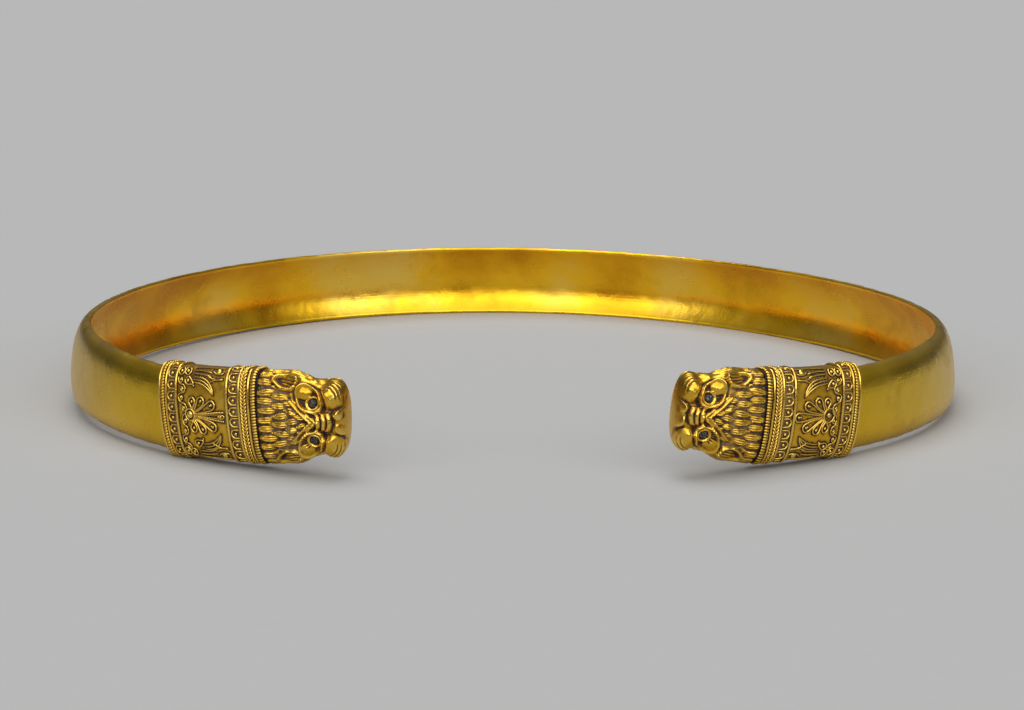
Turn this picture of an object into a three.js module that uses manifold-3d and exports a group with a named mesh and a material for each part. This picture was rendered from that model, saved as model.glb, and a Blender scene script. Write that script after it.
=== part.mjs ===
// Open gold neck ring with two lion-head terminals, lying flat.
// Millimetres, +Z up. The gap between the heads faces -Y.
import * as THREE from 'three';
import Module from 'manifold-3d';

const wasm = await Module();
wasm.setup();

// Ring plan
const RING_RADIUS = 72.7;
const PLAN_WAVE_COS = -0.0254;
const PLAN_WAVE_SIN = -0.0096;
const RULE_OFFSET = 2.9;

// Hoop band: a wall bent to a shallow C that opens to the neck
const BAND_HEIGHT = 13.2;
const BAND_DEPTH = 2.75;
const BAND_WALL = 0.9;
const BAND_LEAN = 0.106;
const BAND_INSERT = 12;
const RIM_OFFSET = -0.45;
const RIM_FLAT = 0.12;
const LEAN_RUN = 40;
const LIFT_RUN = 30;

// Collar sleeve
const COLLAR_WALL = 0.4;
const COLLAR_CENTRE_OFFSET = 0.4;
const COLLAR_BACK_DEPTH = 2.5;
const FIT_GAP = 0.2;
const PLAIN_WIRE_HEIGHT = 0.24;
const PLAIN_WIRE_WIDTH = 0.55;
const BEADED_WIRE_HEIGHT = 0.36;
const REAR_WIRE_WIDTH = 0.85;
const PLAIT_WIDTH = 1.1;
const PLAIT_HEIGHT = 0.3;
const FRONT_WIRE_WIDTH = 1.15;
const WIRE_GAP = 0.05;
const WIRE_SHOULDER = 0.28;
const FRIEZE_WIDTH = 1.7;
const PALMETTE_HEIGHT = 0.28;
const PALMETTE_REACH = 6.8;
const PALMETTE_DROP = -0.1;
const ROSETTE_AHEAD = 2.5;
const ROSETTE_RADIUS = 0.8;
const PETAL_TIP_WIDTH = 1.65;
const SIDE_PETAL_NARROWING = 0.3;
const PETAL_ROOT_SHARE = 0.25;
const SEPAL_AHEAD = 3.6;
const SEPAL_SPREAD = 5.6;
const SEPAL_LENGTH = 5.2;
const SEPAL_WIDTH = 1.1;
const SEPAL_BEND = 0.45;
const SEPAL_SHORTENING = 0.1;
const SEPAL_BLUNT_END = 0.12;
const SEPAL_FINE_END = 0.92;

// Lion head
const HEAD_LENGTH = 14.25;
const HEAD_HALF_HEIGHT = 7.15;
const MUZZLE_HALF_HEIGHT = 6;
const HEAD_CROWN = 3.35;
const FOREHEAD_RISE = 0.5;
const FOREHEAD_SHARE = 0.52;
const FOREHEAD_SPREAD = 0.18;
const MUZZLE_FROM = 0.36;
const MUZZLE_TO = 0.64;
const JAW_DEPTH = 2.8;
const HEAD_CENTRE_OFFSET = 0.25;
const NECK_GAP = 0.35;
const NECK_INSERT = 4;
const FACE_DROP = -0.25;
const LOCKS_AROUND = 24;
const EYE_SHARE = 0.665;
const EYE_SPREAD = 3;
const EYE_RADIUS = 0.68;
const EYE_DEPTH = 0.8;
const EYE_RISE = 0.25;
const EYE_CLEARANCE = 0.06;
const EYE_SHOULDER = 0.4;
const EYE_TOP_SHARE = 0.6;

// Carving of the head, in hundredths of its length. q runs from the neck over the snout,
// w from the middle of the face down each cheek
const MANE = { start: 1.4, rowLength: 18.3, rowStep: 19, height: 3.2 };
const BROW = { q: 58, w: 34, long: 11.2, wide: 10.5, height: 5.6 };
const EYELID = { q: 63, w: 26, turn: -53, long: 16.5, wide: 11.6, height: 2.5, sink: 1.8 };
const TUFT = { q: 45.6, w: 9.1, long: 9.8, wide: 6, height: 2.1 };
const BROW_RIDGE = { apex: 68, slope: 1.02, reach: 25, width: 3.2, height: 2.1 };
const NOSE_FOLDS = { start: 69, end: 89.5, first: 72.6, pitch: 6.9, half: 9.5, height: 2.8 };
const NOSE = {
  start: 89.8, back: 9, front: 14.4, widest: 101, end: 112, height: 3.5, edge: 2, tipEdge: 3,
};
const WHISKER_PAD = { q: 90.5, w: 32.3, long: 19, wide: 18.2, height: 6 };
const EAR = { q: 33.7, w: 42.8, turn: -8, long: 17.5, wide: 9.8, height: 2.8, sink: 1.8 };
const RIM_PLACE = 0.9;
const RIM_WIDTH = 0.23;
const HOLLOW_WIDTH = 0.5;

// Resting place
const REST_FLAT = 0.08;

// Mesh counts
const HOOP_STEPS = 42;
const SLEEVE_STEPS = 4;
const BAND_STEPS = 3;
const BACK_STEPS = 4;
const HEAD_ROWS = 24;
const TIP_ROWS = 5;
const FACE_STEPS = 11;
const JAW_COLUMNS = 5;
const EYE_SIDES = 8;

const BAND_POWER = 2.3;
const COLLAR_POWER = 2.5;
const COLLAR_BACK_POWER = 6;
const HEAD_POWER = 2.4;
const TIP_POWER = 2.5;
const TIP_START = 0.84;
const TIP_TURN = 0.47;

// The two ends differ a little: where each collar starts, how long it is, how its rear, its front
// and the snout lift and slant, and how far forward the face sits
const LEFT_COLLAR_LENGTH = 19.8;
const RIGHT_COLLAR_LENGTH = 19.4;
const LEFT_LIFTS = [-0.65, 0.4, 1.3];
const RIGHT_LIFTS = [-0.3, 0.6, 2.65];
const SIDES = [
  {
    name: 'left', sign: -1, startAngle: 45.2, collarLength: LEFT_COLLAR_LENGTH,
    lift: LEFT_LIFTS, slant: [0.13, 0.085, 0.02], faceAhead: -1,
  },
  {
    name: 'right', sign: 1, startAngle: 46.4, collarLength: RIGHT_COLLAR_LENGTH,
    lift: RIGHT_LIFTS, slant: [0.12, 0.12, 0.12], faceAhead: 2,
  },
];

const lerp = THREE.MathUtils.lerp;
const radians = THREE.MathUtils.degToRad;
const smooth = THREE.MathUtils.smoothstep;

function planPoint(angle, offset) {
  const third = 3 * angle;
  const wave = PLAN_WAVE_COS * Math.cos(third) + PLAN_WAVE_SIN * Math.sin(third);
  const waveSlope = 3 * (PLAN_WAVE_SIN * Math.cos(third) - PLAN_WAVE_COS * Math.sin(third));
  const radius = RING_RADIUS * (1 + wave);
  const radiusSlope = RING_RADIUS * waveSlope;
  const dx = radiusSlope * Math.sin(angle) + radius * Math.cos(angle);
  const dy = -radiusSlope * Math.cos(angle) + radius * Math.sin(angle);
  const length = Math.hypot(dx, dy);
  const x = radius * Math.sin(angle) + (offset * dy) / length;
  const y = -radius * Math.cos(angle) - (offset * dx) / length;
  return new THREE.Vector2(x, y);
}

// Arc lengths along the plan from the gap to the back, for one side
function arcTable(sign) {
  const steps = 1440;
  const table = [0];
  let before = planPoint(0, RULE_OFFSET);
  for (let i = 1; i <= steps; i += 1) {
    const point = planPoint((sign * Math.PI * i) / steps, RULE_OFFSET);
    table.push(table[i - 1] + point.distanceTo(before));
    before = point;
  }
  return table;
}

function arcAt(table, angle) {
  const place = (Math.abs(angle) / Math.PI) * (table.length - 1);
  const index = Math.min(Math.floor(place), table.length - 2);
  return lerp(table[index], table[index + 1], place - index);
}

function angleAtArc(table, arc) {
  let low = 0;
  let high = table.length - 1;
  while (high - low > 1) {
    const middle = (low + high) >> 1;
    if (table[middle] > arc) high = middle;
    else low = middle;
  }
  const part = (arc - table[low]) / (table[high] - table[low]);
  return (Math.PI * (low + part)) / (table.length - 1);
}

for (const side of SIDES) {
  side.table = arcTable(side.sign);
  side.startArc = arcAt(side.table, radians(side.startAngle));
  side.headStart = side.collarLength + NECK_GAP;
  side.headEnd = side.headStart + HEAD_LENGTH;
}

// Values given at the collar's rear, its front and the snout
function alongSide(values, side, s) {
  if (s < side.collarLength) return lerp(values[0], values[1], Math.max(s, 0) / side.collarLength);
  const rest = (s - side.collarLength) / (side.headEnd - side.collarLength);
  return lerp(values[1], values[2], rest);
}

function liftAt(side, s) {
  if (s < 0) return side.lift[0] * smooth(s, -LIFT_RUN, 0);
  return alongSide(side.lift, side, s);
}

// A place on one end: s runs from the collar's rear to the snout, o outward, z up
function place(side, s, o, z, slanted = true) {
  const slant = slanted ? alongSide(side.slant, side, s) : 0;
  const angle = side.sign * angleAtArc(side.table, side.startArc - (s - z * slant));
  const plan = planPoint(angle, o);
  return new THREE.Vector3(plan.x, plan.y, z + liftAt(side, s));
}

function power(value, exponent) {
  return Math.sign(value) * Math.abs(value) ** exponent;
}

// Half outline of a bowed section, from the lower edge over the crown to the upper edge
function bow(halfHeight, depth, exponent, count) {
  const points = [];
  for (let i = 0; i < count; i += 1) {
    const turn = -Math.PI / 2 + (Math.PI * i) / (count - 1);
    const o = depth * power(Math.max(Math.cos(turn), 0), 2 / exponent);
    points.push(new THREE.Vector2(o, halfHeight * power(Math.sin(turn), 2 / exponent)));
  }
  return points;
}

// Closed section that is bowed on both faces, read by arc length from its crown
function roundSection(halfHeight, front, back, frontPower, backPower) {
  const steps = 240;
  const points = [];
  const arcs = [0];
  for (let i = 0; i <= steps; i += 1) {
    const turn = (Math.PI * i) / steps;
    const facing = Math.cos(turn);
    const exponent = facing >= 0 ? frontPower : backPower;
    const depth = facing >= 0 ? front : back;
    const o = depth * power(facing, 2 / exponent);
    points.push(new THREE.Vector2(o, halfHeight * power(Math.sin(turn), 2 / exponent)));
    if (i > 0) arcs.push(arcs[i - 1] + points[i].distanceTo(points[i - 1]));
  }
  return { points, arcs, half: arcs[steps] };
}

function sectionAt(section, w) {
  const wanted = Math.min(Math.abs(w), section.half);
  let index = 0;
  while (index < section.arcs.length - 2 && section.arcs[index + 1] < wanted) index += 1;
  const a = section.points[index];
  const b = section.points[index + 1];
  const span = section.arcs[index + 1] - section.arcs[index];
  const point = a.clone().lerp(b, (wanted - section.arcs[index]) / span);
  const normal = new THREE.Vector2(b.y - a.y, a.x - b.x).normalize();
  if (w < 0) {
    point.y = -point.y;
    normal.y = -normal.y;
  }
  return { point, normal };
}

function solidFromTriangles(vertices, triangles) {
  let volume = 0;
  for (const [a, b, c] of triangles) {
    volume += vertices[a].dot(vertices[b].clone().cross(vertices[c]));
  }
  const index = volume > 0 ? triangles.flat() : triangles.map(([a, b, c]) => [a, c, b]).flat();
  const geometry = new THREE.BufferGeometry();
  const positions = vertices.flatMap((vertex) => [vertex.x, vertex.y, vertex.z]);
  geometry.setAttribute('position', new THREE.Float32BufferAttribute(positions, 3));
  geometry.setIndex(index);
  return geometry;
}

// Skin over a row of rings with equal counts; an open row is closed by flat caps
function loft(rings, looped, capOutlines) {
  const count = rings[0].length;
  const vertices = rings.flat();
  const triangles = [];
  const last = looped ? rings.length : rings.length - 1;
  for (let i = 0; i < last; i += 1) {
    const next = (i + 1) % rings.length;
    for (let j = 0; j < count; j += 1) {
      const k = (j + 1) % count;
      const a = i * count + j;
      const b = next * count + j;
      const c = next * count + k;
      const d = i * count + k;
      triangles.push([a, b, c], [a, c, d]);
    }
  }
  if (!looped) {
    const end = (rings.length - 1) * count;
    for (const [a, b, c] of THREE.ShapeUtils.triangulateShape(capOutlines[0], [])) {
      triangles.push([a, b, c]);
    }
    for (const [a, b, c] of THREE.ShapeUtils.triangulateShape(capOutlines[1], [])) {
      triangles.push([end + a, end + c, end + b]);
    }
  }
  return matchCaps(vertices, triangles);
}

// Turns every triangle the same way round as the first one
function matchCaps(vertices, triangles) {
  const edges = new Map();
  triangles.forEach((triangle, number) => {
    for (let i = 0; i < 3; i += 1) {
      const a = triangle[i];
      const b = triangle[(i + 1) % 3];
      const key = `${Math.min(a, b)}_${Math.max(a, b)}`;
      if (!edges.has(key)) edges.set(key, []);
      edges.get(key).push({ number, forward: a < b });
    }
  });
  const neighbours = triangles.map(() => []);
  for (const users of edges.values()) {
    const [one, two] = users;
    const same = one.forward === two.forward;
    neighbours[one.number].push({ number: two.number, same });
    neighbours[two.number].push({ number: one.number, same });
  }
  const flipped = new Array(triangles.length).fill(null);
  flipped[0] = false;
  const queue = [0];
  while (queue.length > 0) {
    const number = queue.pop();
    for (const neighbour of neighbours[number]) {
      if (flipped[neighbour.number] === null) {
        flipped[neighbour.number] = neighbour.same ? !flipped[number] : flipped[number];
        queue.push(neighbour.number);
      }
    }
  }
  const turned = triangles.map(([a, b, c], number) => (flipped[number] ? [a, c, b] : [a, b, c]));
  return solidFromTriangles(vertices, turned);
}

function toManifold(geometry) {
  const vertProperties = new Float32Array(geometry.getAttribute('position').array);
  const triVerts = new Uint32Array(geometry.getIndex().array);
  return new wasm.Manifold(new wasm.Mesh({ numProp: 3, vertProperties, triVerts }));
}

function fromManifold(solid) {
  const mesh = solid.getMesh();
  const geometry = new THREE.BufferGeometry();
  geometry.setAttribute('position', new THREE.Float32BufferAttribute(mesh.vertProperties, 3));
  geometry.setIndex(Array.from(mesh.triVerts));
  return geometry;
}

// Section of the band: outer bow, then the hollow's bow back again
function bandOutline() {
  const half = BAND_HEIGHT / 2;
  const count = 2 * BAND_STEPS + 1;
  const outer = bow(half, BAND_DEPTH, BAND_POWER, count);
  const hollow = bow(half - BAND_WALL, BAND_DEPTH - BAND_WALL, BAND_POWER, count);
  const footLevel = RIM_FLAT - half;
  const footWidth = BAND_DEPTH * (1 - (-footLevel / half) ** BAND_POWER) ** (1 / BAND_POWER);
  const foot = [new THREE.Vector2(0, footLevel), new THREE.Vector2(footWidth, footLevel)];
  return [...foot, ...outer.slice(1), ...hollow.reverse()];
}

function hoopGeometry() {
  const outline = bandOutline();
  const [left, right] = SIDES;
  const leftEnd = angleAtArc(left.table, left.startArc - BAND_INSERT);
  const rightEnd = angleAtArc(right.table, right.startArc - BAND_INSERT);
  const rings = [];
  for (let i = 0; i <= HOOP_STEPS; i += 1) {
    const fromBack = lerp(leftEnd - Math.PI, Math.PI - rightEnd, i / HOOP_STEPS);
    const side = fromBack < 0 ? left : right;
    const s = side.startArc - arcAt(side.table, Math.PI - Math.abs(fromBack));
    const lean = BAND_LEAN * smooth(-s, 0, LEAN_RUN);
    rings.push(outline.map((point) => place(
      side, s, RIM_OFFSET + point.x - lean * point.y, point.y, false,
    )));
  }
  return loft(rings, false, [outline, outline]);
}

// Sleeve sizes follow the band that it holds
const BORE_HALF = BAND_HEIGHT / 2 + FIT_GAP;
const BORE_FRONT = RIM_OFFSET + BAND_DEPTH + FIT_GAP - COLLAR_CENTRE_OFFSET;
const BORE_BACK = COLLAR_BACK_DEPTH - COLLAR_WALL;
const SLEEVE_HALF = BORE_HALF + COLLAR_WALL;
const SLEEVE_FRONT = BORE_FRONT + COLLAR_WALL;
const sleeve = roundSection(
  SLEEVE_HALF, SLEEVE_FRONT, COLLAR_BACK_DEPTH, COLLAR_POWER, COLLAR_BACK_POWER,
);
const bore = roundSection(BORE_HALF, BORE_FRONT, BORE_BACK, COLLAR_POWER, COLLAR_BACK_POWER);

function sectionPlace(side, section, centreOffset, s, w, height) {
  const { point, normal } = sectionAt(section, w);
  const o = centreOffset + point.x + height * normal.x;
  return place(side, s, o, point.y + height * normal.y);
}

// Places round a section in equal turns: the face in two times faceSteps, then the back
function turnColumns(section, faceSteps) {
  const quarter = (section.arcs.length - 1) / 2;
  const columns = [];
  for (let i = -faceSteps; i <= faceSteps; i += 1) {
    columns.push(Math.sign(i) * section.arcs[Math.round((quarter * Math.abs(i)) / faceSteps)]);
  }
  for (let i = 1; i < 2 * BACK_STEPS; i += 1) {
    const index = Math.round((quarter * Math.min(i, 2 * BACK_STEPS - i)) / BACK_STEPS);
    columns.push((i <= BACK_STEPS ? 1 : -1) * section.arcs[quarter + index]);
  }
  return columns;
}

function sectionRing(side, section, faceSteps, s, height) {
  return turnColumns(section, faceSteps).map(
    (w) => sectionPlace(side, section, COLLAR_CENTRE_OFFSET, s, w, height),
  );
}

function sectionOutline(section, faceSteps) {
  return turnColumns(section, faceSteps).map((w) => sectionAt(section, w).point);
}

// Where the ornament bands start, from the sleeve's rear to its front
function collarPlan(side) {
  const rim = PLAIN_WIRE_WIDTH;
  const rearWire = rim + WIRE_GAP;
  const wireA = rearWire + REAR_WIRE_WIDTH + WIRE_GAP;
  const wireB = wireA + PLAIN_WIRE_WIDTH + FRIEZE_WIDTH;
  const frontWire = side.collarLength - FRONT_WIRE_WIDTH - WIRE_GAP;
  const wireE = frontWire - PLAIN_WIRE_WIDTH - WIRE_GAP;
  const plait = wireE - PLAIT_WIDTH - WIRE_GAP;
  const wireD = plait - PLAIN_WIRE_WIDTH - WIRE_GAP;
  const wireC = wireD - FRIEZE_WIDTH - PLAIN_WIRE_WIDTH;
  const panel = wireB + PLAIN_WIRE_WIDTH;
  return { rearWire, plait, frontWire, panel, wires: [0, wireA, wireB, wireC, wireD, wireE] };
}

// A petal with a narrow foot and a round tip, pointing along +X
function petalOutline(length, width) {
  const points = [];
  const steps = 3;
  const tip = width / 2;
  const root = PETAL_ROOT_SHARE * tip;
  points.push(new THREE.Vector2(0, -root));
  for (let i = 0; i <= steps; i += 1) {
    const turn = -Math.PI / 2 + (Math.PI * i) / steps;
    points.push(new THREE.Vector2(length - tip + tip * Math.cos(turn), tip * Math.sin(turn)));
  }
  points.push(new THREE.Vector2(0, root));
  return points;
}

// A sickle leaf that bends from along the ring towards the middle of the panel
function sickleOutline(length, width) {
  const outer = [];
  const inner = [];
  const steps = 3;
  for (let i = 0; i <= steps; i += 1) {
    const part = i / steps;
    const body = width * Math.sin(Math.PI * lerp(SEPAL_BLUNT_END, SEPAL_FINE_END, part)) * 0.5;
    const bend = SEPAL_BEND * length * part * part;
    const reach = length * part * (1 - SEPAL_SHORTENING * part);
    outer.push(new THREE.Vector2(reach, bend - body));
    inner.push(new THREE.Vector2(reach, bend + body));
  }
  return [...outer, ...inner.reverse()];
}

// A low plate with a given outline that follows the sleeve's face
function patch(side, outline, s, w, turn, flip) {
  const cosine = Math.cos(turn);
  const sine = Math.sin(turn);
  const placed = outline.map((point) => {
    const across = flip * point.y;
    const along = point.x * cosine - across * sine;
    return { s: s + along, w: w + point.x * sine + across * cosine };
  });
  const heights = [-COLLAR_WALL / 2, PALMETTE_HEIGHT];
  const rings = heights.map((height) => placed.map(
    (spot) => sectionPlace(side, sleeve, COLLAR_CENTRE_OFFSET, spot.s, spot.w, height),
  ));
  return toManifold(loft(rings, false, [outline, outline]));
}

// Petal directions in degrees with their lengths as shares of the long middle petal
const PETALS = [[0, 1], [25, 0.8], [-25, 0.8], [52, 0.58], [-52, 0.58], [92, 0.42], [-92, 0.42]];

function collarOrnament(side, plan) {
  const rosetteAt = plan.panel + ROSETTE_AHEAD;
  const patches = [];
  const rosette = [];
  for (let i = 0; i < 8; i += 1) {
    const turn = (Math.PI * i) / 4;
    rosette.push(new THREE.Vector2(Math.cos(turn), Math.sin(turn)).multiplyScalar(ROSETTE_RADIUS));
  }
  patches.push(patch(side, rosette, rosetteAt, PALMETTE_DROP, 0, 1));
  for (const [degrees, share] of PETALS) {
    const tipWidth = PETAL_TIP_WIDTH - SIDE_PETAL_NARROWING * (1 - share);
    const petal = petalOutline(PALMETTE_REACH * share, tipWidth);
    patches.push(patch(side, petal, rosetteAt, PALMETTE_DROP, radians(degrees), 1));
  }
  for (const flip of [-1, 1]) {
    const sepal = sickleOutline(SEPAL_LENGTH, SEPAL_WIDTH);
    patches.push(patch(side, sepal, plan.panel + SEPAL_AHEAD, flip * SEPAL_SPREAD, 0, -flip));
  }
  return patches;
}

function collarGeometry(side) {
  const plan = collarPlan(side);
  const stations = [];
  for (const start of plan.wires) {
    stations.push([start, start === 0 ? PLAIN_WIRE_HEIGHT / 2 : 0]);
    stations.push([start + PLAIN_WIRE_WIDTH / 2, PLAIN_WIRE_HEIGHT]);
    stations.push([start + PLAIN_WIRE_WIDTH, 0]);
  }
  stations.push([side.collarLength, 0]);
  const panelEnd = plan.wires[3];
  for (const part of [0.33, 0.67]) stations.push([lerp(plan.panel, panelEnd, part), 0]);
  stations.sort((a, b) => a[0] - b[0]);
  const skin = stations.map(([s, height]) => sectionRing(side, sleeve, SLEEVE_STEPS, s, height));
  const sleeveOutline = sectionOutline(sleeve, SLEEVE_STEPS);
  const boreOutline = sectionOutline(bore, SLEEVE_STEPS);
  const boreRings = [];
  const boreSteps = 4;
  for (let i = 0; i <= boreSteps; i += 1) {
    const s = lerp(-1, side.collarLength + 1, i / boreSteps);
    boreRings.push(sectionRing(side, bore, SLEEVE_STEPS, s, 0));
  }
  let solid = toManifold(loft(skin, false, [sleeveOutline, sleeveOutline]));
  for (const piece of collarOrnament(side, plan)) solid = solid.add(piece);
  solid = solid.subtract(toManifold(loft(boreRings, false, [boreOutline, boreOutline])));
  return fromManifold(solid);
}

// A wire ring round the sleeve with a flat foot and a bowed top
function wireRingGeometry(side, start, width, height) {
  const profile = [[0, WIRE_GAP], [WIRE_SHOULDER, height], [1 - WIRE_SHOULDER, height], [1, WIRE_GAP]];
  const rings = profile.map(
    ([part, rise]) => sectionRing(side, sleeve, SLEEVE_STEPS, start + width * part, rise),
  );
  return loft(rings[0].map((corner, number) => rings.map((ring) => ring[number])), true, []);
}

// Smooth mound, 1 at its middle and 0 from its edge on
function mound(q, w, form) {
  const far = ((q - form.q) / form.long) ** 2 + ((w - form.w) / form.wide) ** 2;
  return far < 1 ? (1 - far) ** 2 : 0;
}

// Distance from the middle of an oval in its own turned axes, 1 on the outline
function ovalDistance(q, w, form) {
  const turn = radians(form.turn);
  const along = (q - form.q) * Math.cos(turn) + (w - form.w) * Math.sin(turn);
  const across = -(q - form.q) * Math.sin(turn) + (w - form.w) * Math.cos(turn);
  return Math.hypot(along / form.long, across / form.wide);
}

function ridge(distance, at, width) {
  return Math.exp(-(((distance - at) / width) ** 2));
}

// Raised rim with a hollow inside it, as on an ear or an eyelid
function rimmedOval(q, w, form) {
  const distance = ovalDistance(q, w, form);
  return form.height * ridge(distance, RIM_PLACE, RIM_WIDTH) - form.sink * ridge(distance, 0, HOLLOW_WIDTH);
}

// Pointed locks in two rows behind the face; the second row stands between the first
function maneRelief(q, locks) {
  for (const row of [0, 1]) {
    const part = (q - MANE.start - MANE.rowStep * row) / MANE.rowLength;
    if (part >= 0 && part <= 1) {
      const cell = locks + row / 2;
      const across = 2 * Math.abs(cell - Math.round(cell));
      const width = lerp(0.45, 1, Math.min(part * 1.6, 1));
      const swell = Math.sin(Math.PI * lerp(0.15, 0.85, part));
      return MANE.height * Math.max(0, 1 - (across / width) ** 2) * swell;
    }
  }
  return 0;
}

function noseRelief(q, face) {
  let height = 0;
  if (q > NOSE_FOLDS.start && q < NOSE_FOLDS.end) {
    const fold = Math.cos((2 * Math.PI * (q - NOSE_FOLDS.first)) / NOSE_FOLDS.pitch);
    const side = Math.max(0, 1 - (face / NOSE_FOLDS.half) ** 2);
    height += NOSE_FOLDS.height * ((1 + fold) / 2) * side;
  }
  const from = NOSE.start - NOSE.edge;
  const half = lerp(NOSE.back, NOSE.front, smooth(q, from, NOSE.widest));
  const begun = smooth(q, from, NOSE.start + NOSE.edge);
  const length = begun * (1 - smooth(q, NOSE.end - NOSE.tipEdge, NOSE.end + NOSE.tipEdge));
  return height + NOSE.height * length * (1 - smooth(face, half - NOSE.edge, half + NOSE.edge));
}

// Height of the carving at a distance from the neck and an arc length from the crown
function headRelief(side, distance, w, lockPitch) {
  const unit = HEAD_LENGTH / 100;
  const q = distance / unit;
  const ahead = q - side.faceAhead;
  const face = Math.abs(w - FACE_DROP) / unit;
  let height = maneRelief(q, w / lockPitch) + noseRelief(ahead, face);
  height += rimmedOval(ahead, face, EYELID) + rimmedOval(q, Math.abs(w) / unit, EAR);
  for (const form of [BROW, TUFT, WHISKER_PAD]) height += form.height * mound(ahead, face, form);
  if (face < BROW_RIDGE.reach) {
    const line = BROW_RIDGE.apex - BROW_RIDGE.slope * face;
    height += BROW_RIDGE.height * ridge(ahead, line, BROW_RIDGE.width);
  }
  return height * unit;
}

// The closing of the head towards the snout's end, 1 before it starts
function tipClosing(share) {
  const part = Math.max(0, (share - TIP_START) / (1 - TIP_START));
  return (1 - Math.min(part, 1) ** TIP_POWER) ** (1 / TIP_POWER);
}

function headSection(share) {
  const close = tipClosing(share);
  const narrowing = smooth(share, MUZZLE_FROM, MUZZLE_TO);
  const half = lerp(HEAD_HALF_HEIGHT, MUZZLE_HALF_HEIGHT, narrowing);
  const forehead = FOREHEAD_RISE * Math.exp(-(((share - FOREHEAD_SHARE) / FOREHEAD_SPREAD) ** 2));
  return roundSection(
    half * close, (HEAD_CROWN + forehead) * close, JAW_DEPTH * close, HEAD_POWER, HEAD_POWER,
  );
}

// Distance over the crown from the neck to a place along the head
function overCrown(share) {
  const steps = 60;
  let total = 0;
  let before = new THREE.Vector2(0, headSection(0).points[0].x);
  for (let i = 1; i <= steps; i += 1) {
    const at = (share * i) / steps;
    const point = new THREE.Vector2(HEAD_LENGTH * at, headSection(at).points[0].x);
    total += point.distanceTo(before);
    before = point;
  }
  return total;
}

// Columns stand closer on the face than on the jaw; they fall on the locks' ridges and furrows
function headColumns(section) {
  const spacing = section.half / LOCKS_AROUND;
  const columns = [];
  for (let i = -FACE_STEPS; i <= FACE_STEPS; i += 1) columns.push(i * spacing);
  const rest = 2 * (section.half - FACE_STEPS * spacing);
  for (let i = 1; i <= JAW_COLUMNS; i += 1) {
    const w = FACE_STEPS * spacing + (rest * i) / (JAW_COLUMNS + 1);
    columns.push(w > section.half ? w - 2 * section.half : w);
  }
  return columns;
}

// A point of the head's skin, moved out by the carving
function headPlace(side, share, w, extra) {
  const section = headSection(share);
  const fade = smooth(1 - share, 0, 0.01);
  const lockPitch = (2 * section.half) / LOCKS_AROUND;
  const height = headRelief(side, overCrown(share), w, lockPitch) * fade + extra;
  const s = side.headStart + share * HEAD_LENGTH;
  return sectionPlace(side, section, HEAD_CENTRE_OFFSET, s, w, height);
}

function headShares() {
  const shares = [];
  for (let i = 0; i <= HEAD_ROWS; i += 1) shares.push((TIP_START * i) / HEAD_ROWS);
  for (let i = 1; i <= TIP_ROWS; i += 1) {
    const turn = (TIP_TURN * Math.PI * i) / TIP_ROWS;
    shares.push(TIP_START + (1 - TIP_START) * Math.sin(turn) ** (2 / TIP_POWER));
  }
  return shares;
}

function headGeometry(side) {
  const shares = headShares();
  const sections = shares.map((share) => headSection(share));
  const outlines = [sections[0], sections[sections.length - 1]].map(
    (section) => headColumns(section).map((w) => sectionAt(section, w).point),
  );
  const rings = shares.map(
    (share, row) => headColumns(sections[row]).map((w) => headPlace(side, share, w, 0)),
  );
  return loft(rings, false, outlines);
}

// The plain neck that the sleeve holds
function neckGeometry(side) {
  const neck = roundSection(
    BORE_HALF - FIT_GAP, BORE_FRONT - FIT_GAP, BORE_BACK - FIT_GAP, COLLAR_POWER, COLLAR_BACK_POWER,
  );
  const outline = sectionOutline(neck, SLEEVE_STEPS);
  const ends = [side.collarLength - NECK_INSERT, side.collarLength, side.headStart + NECK_GAP];
  return loft(ends.map((s) => sectionRing(side, neck, SLEEVE_STEPS, s, 0)), false, [outline, outline]);
}

// Short peg for an eye or its socket, standing square to the face
function eyePeg(side, flip, radius, depth, top) {
  const w = FACE_DROP + flip * EYE_SPREAD;
  const share = EYE_SHARE + side.faceAhead / 100;
  const centre = headPlace(side, share, w, 0);
  const inward = headPlace(side, share, w, -1).sub(centre).normalize();
  const across = headPlace(side, share + 0.02, w, 0).sub(centre);
  const sideways = new THREE.Vector3().crossVectors(inward, across).normalize();
  across.crossVectors(sideways, inward).normalize();
  const levels = [[depth, radius], [-top * EYE_SHOULDER, radius], [-top, radius * EYE_TOP_SHARE]];
  const rings = levels.map(([down, size]) => {
    const ring = [];
    for (let i = 0; i < EYE_SIDES; i += 1) {
      const turn = (2 * Math.PI * i) / EYE_SIDES;
      const point = centre.clone().addScaledVector(inward, down);
      point.addScaledVector(across, size * Math.cos(turn));
      point.addScaledVector(sideways, size * Math.sin(turn));
      ring.push(point);
    }
    return ring;
  });
  const outline = [];
  for (let i = 0; i < EYE_SIDES; i += 1) {
    const turn = (2 * Math.PI * i) / EYE_SIDES;
    outline.push(new THREE.Vector2(Math.cos(turn), Math.sin(turn)));
  }
  return loft(rings, false, [outline, outline]);
}

function headWithSockets(side) {
  let solid = toManifold(headGeometry(side)).add(toManifold(neckGeometry(side)));
  for (const flip of [-1, 1]) {
    const socket = eyePeg(side, flip, EYE_RADIUS + EYE_CLEARANCE, EYE_DEPTH + EYE_CLEARANCE, 1.5);
    solid = solid.subtract(toManifold(socket));
  }
  return fromManifold(solid);
}

const GOLD = { color: 0xc9942e, roughness: 0.34, metalness: 1 };
const BRIGHT_GOLD = { color: 0xd6a336, roughness: 0.28, metalness: 1 };
const EYE_GLASS = { color: 0x2b2a2c, roughness: 0.3, metalness: 0 };

const ring = new THREE.Group();

function addPiece(name, geometry, look) {
  const mesh = new THREE.Mesh(geometry, new THREE.MeshStandardMaterial(look));
  mesh.name = name;
  ring.add(mesh);
  return mesh;
}

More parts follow.
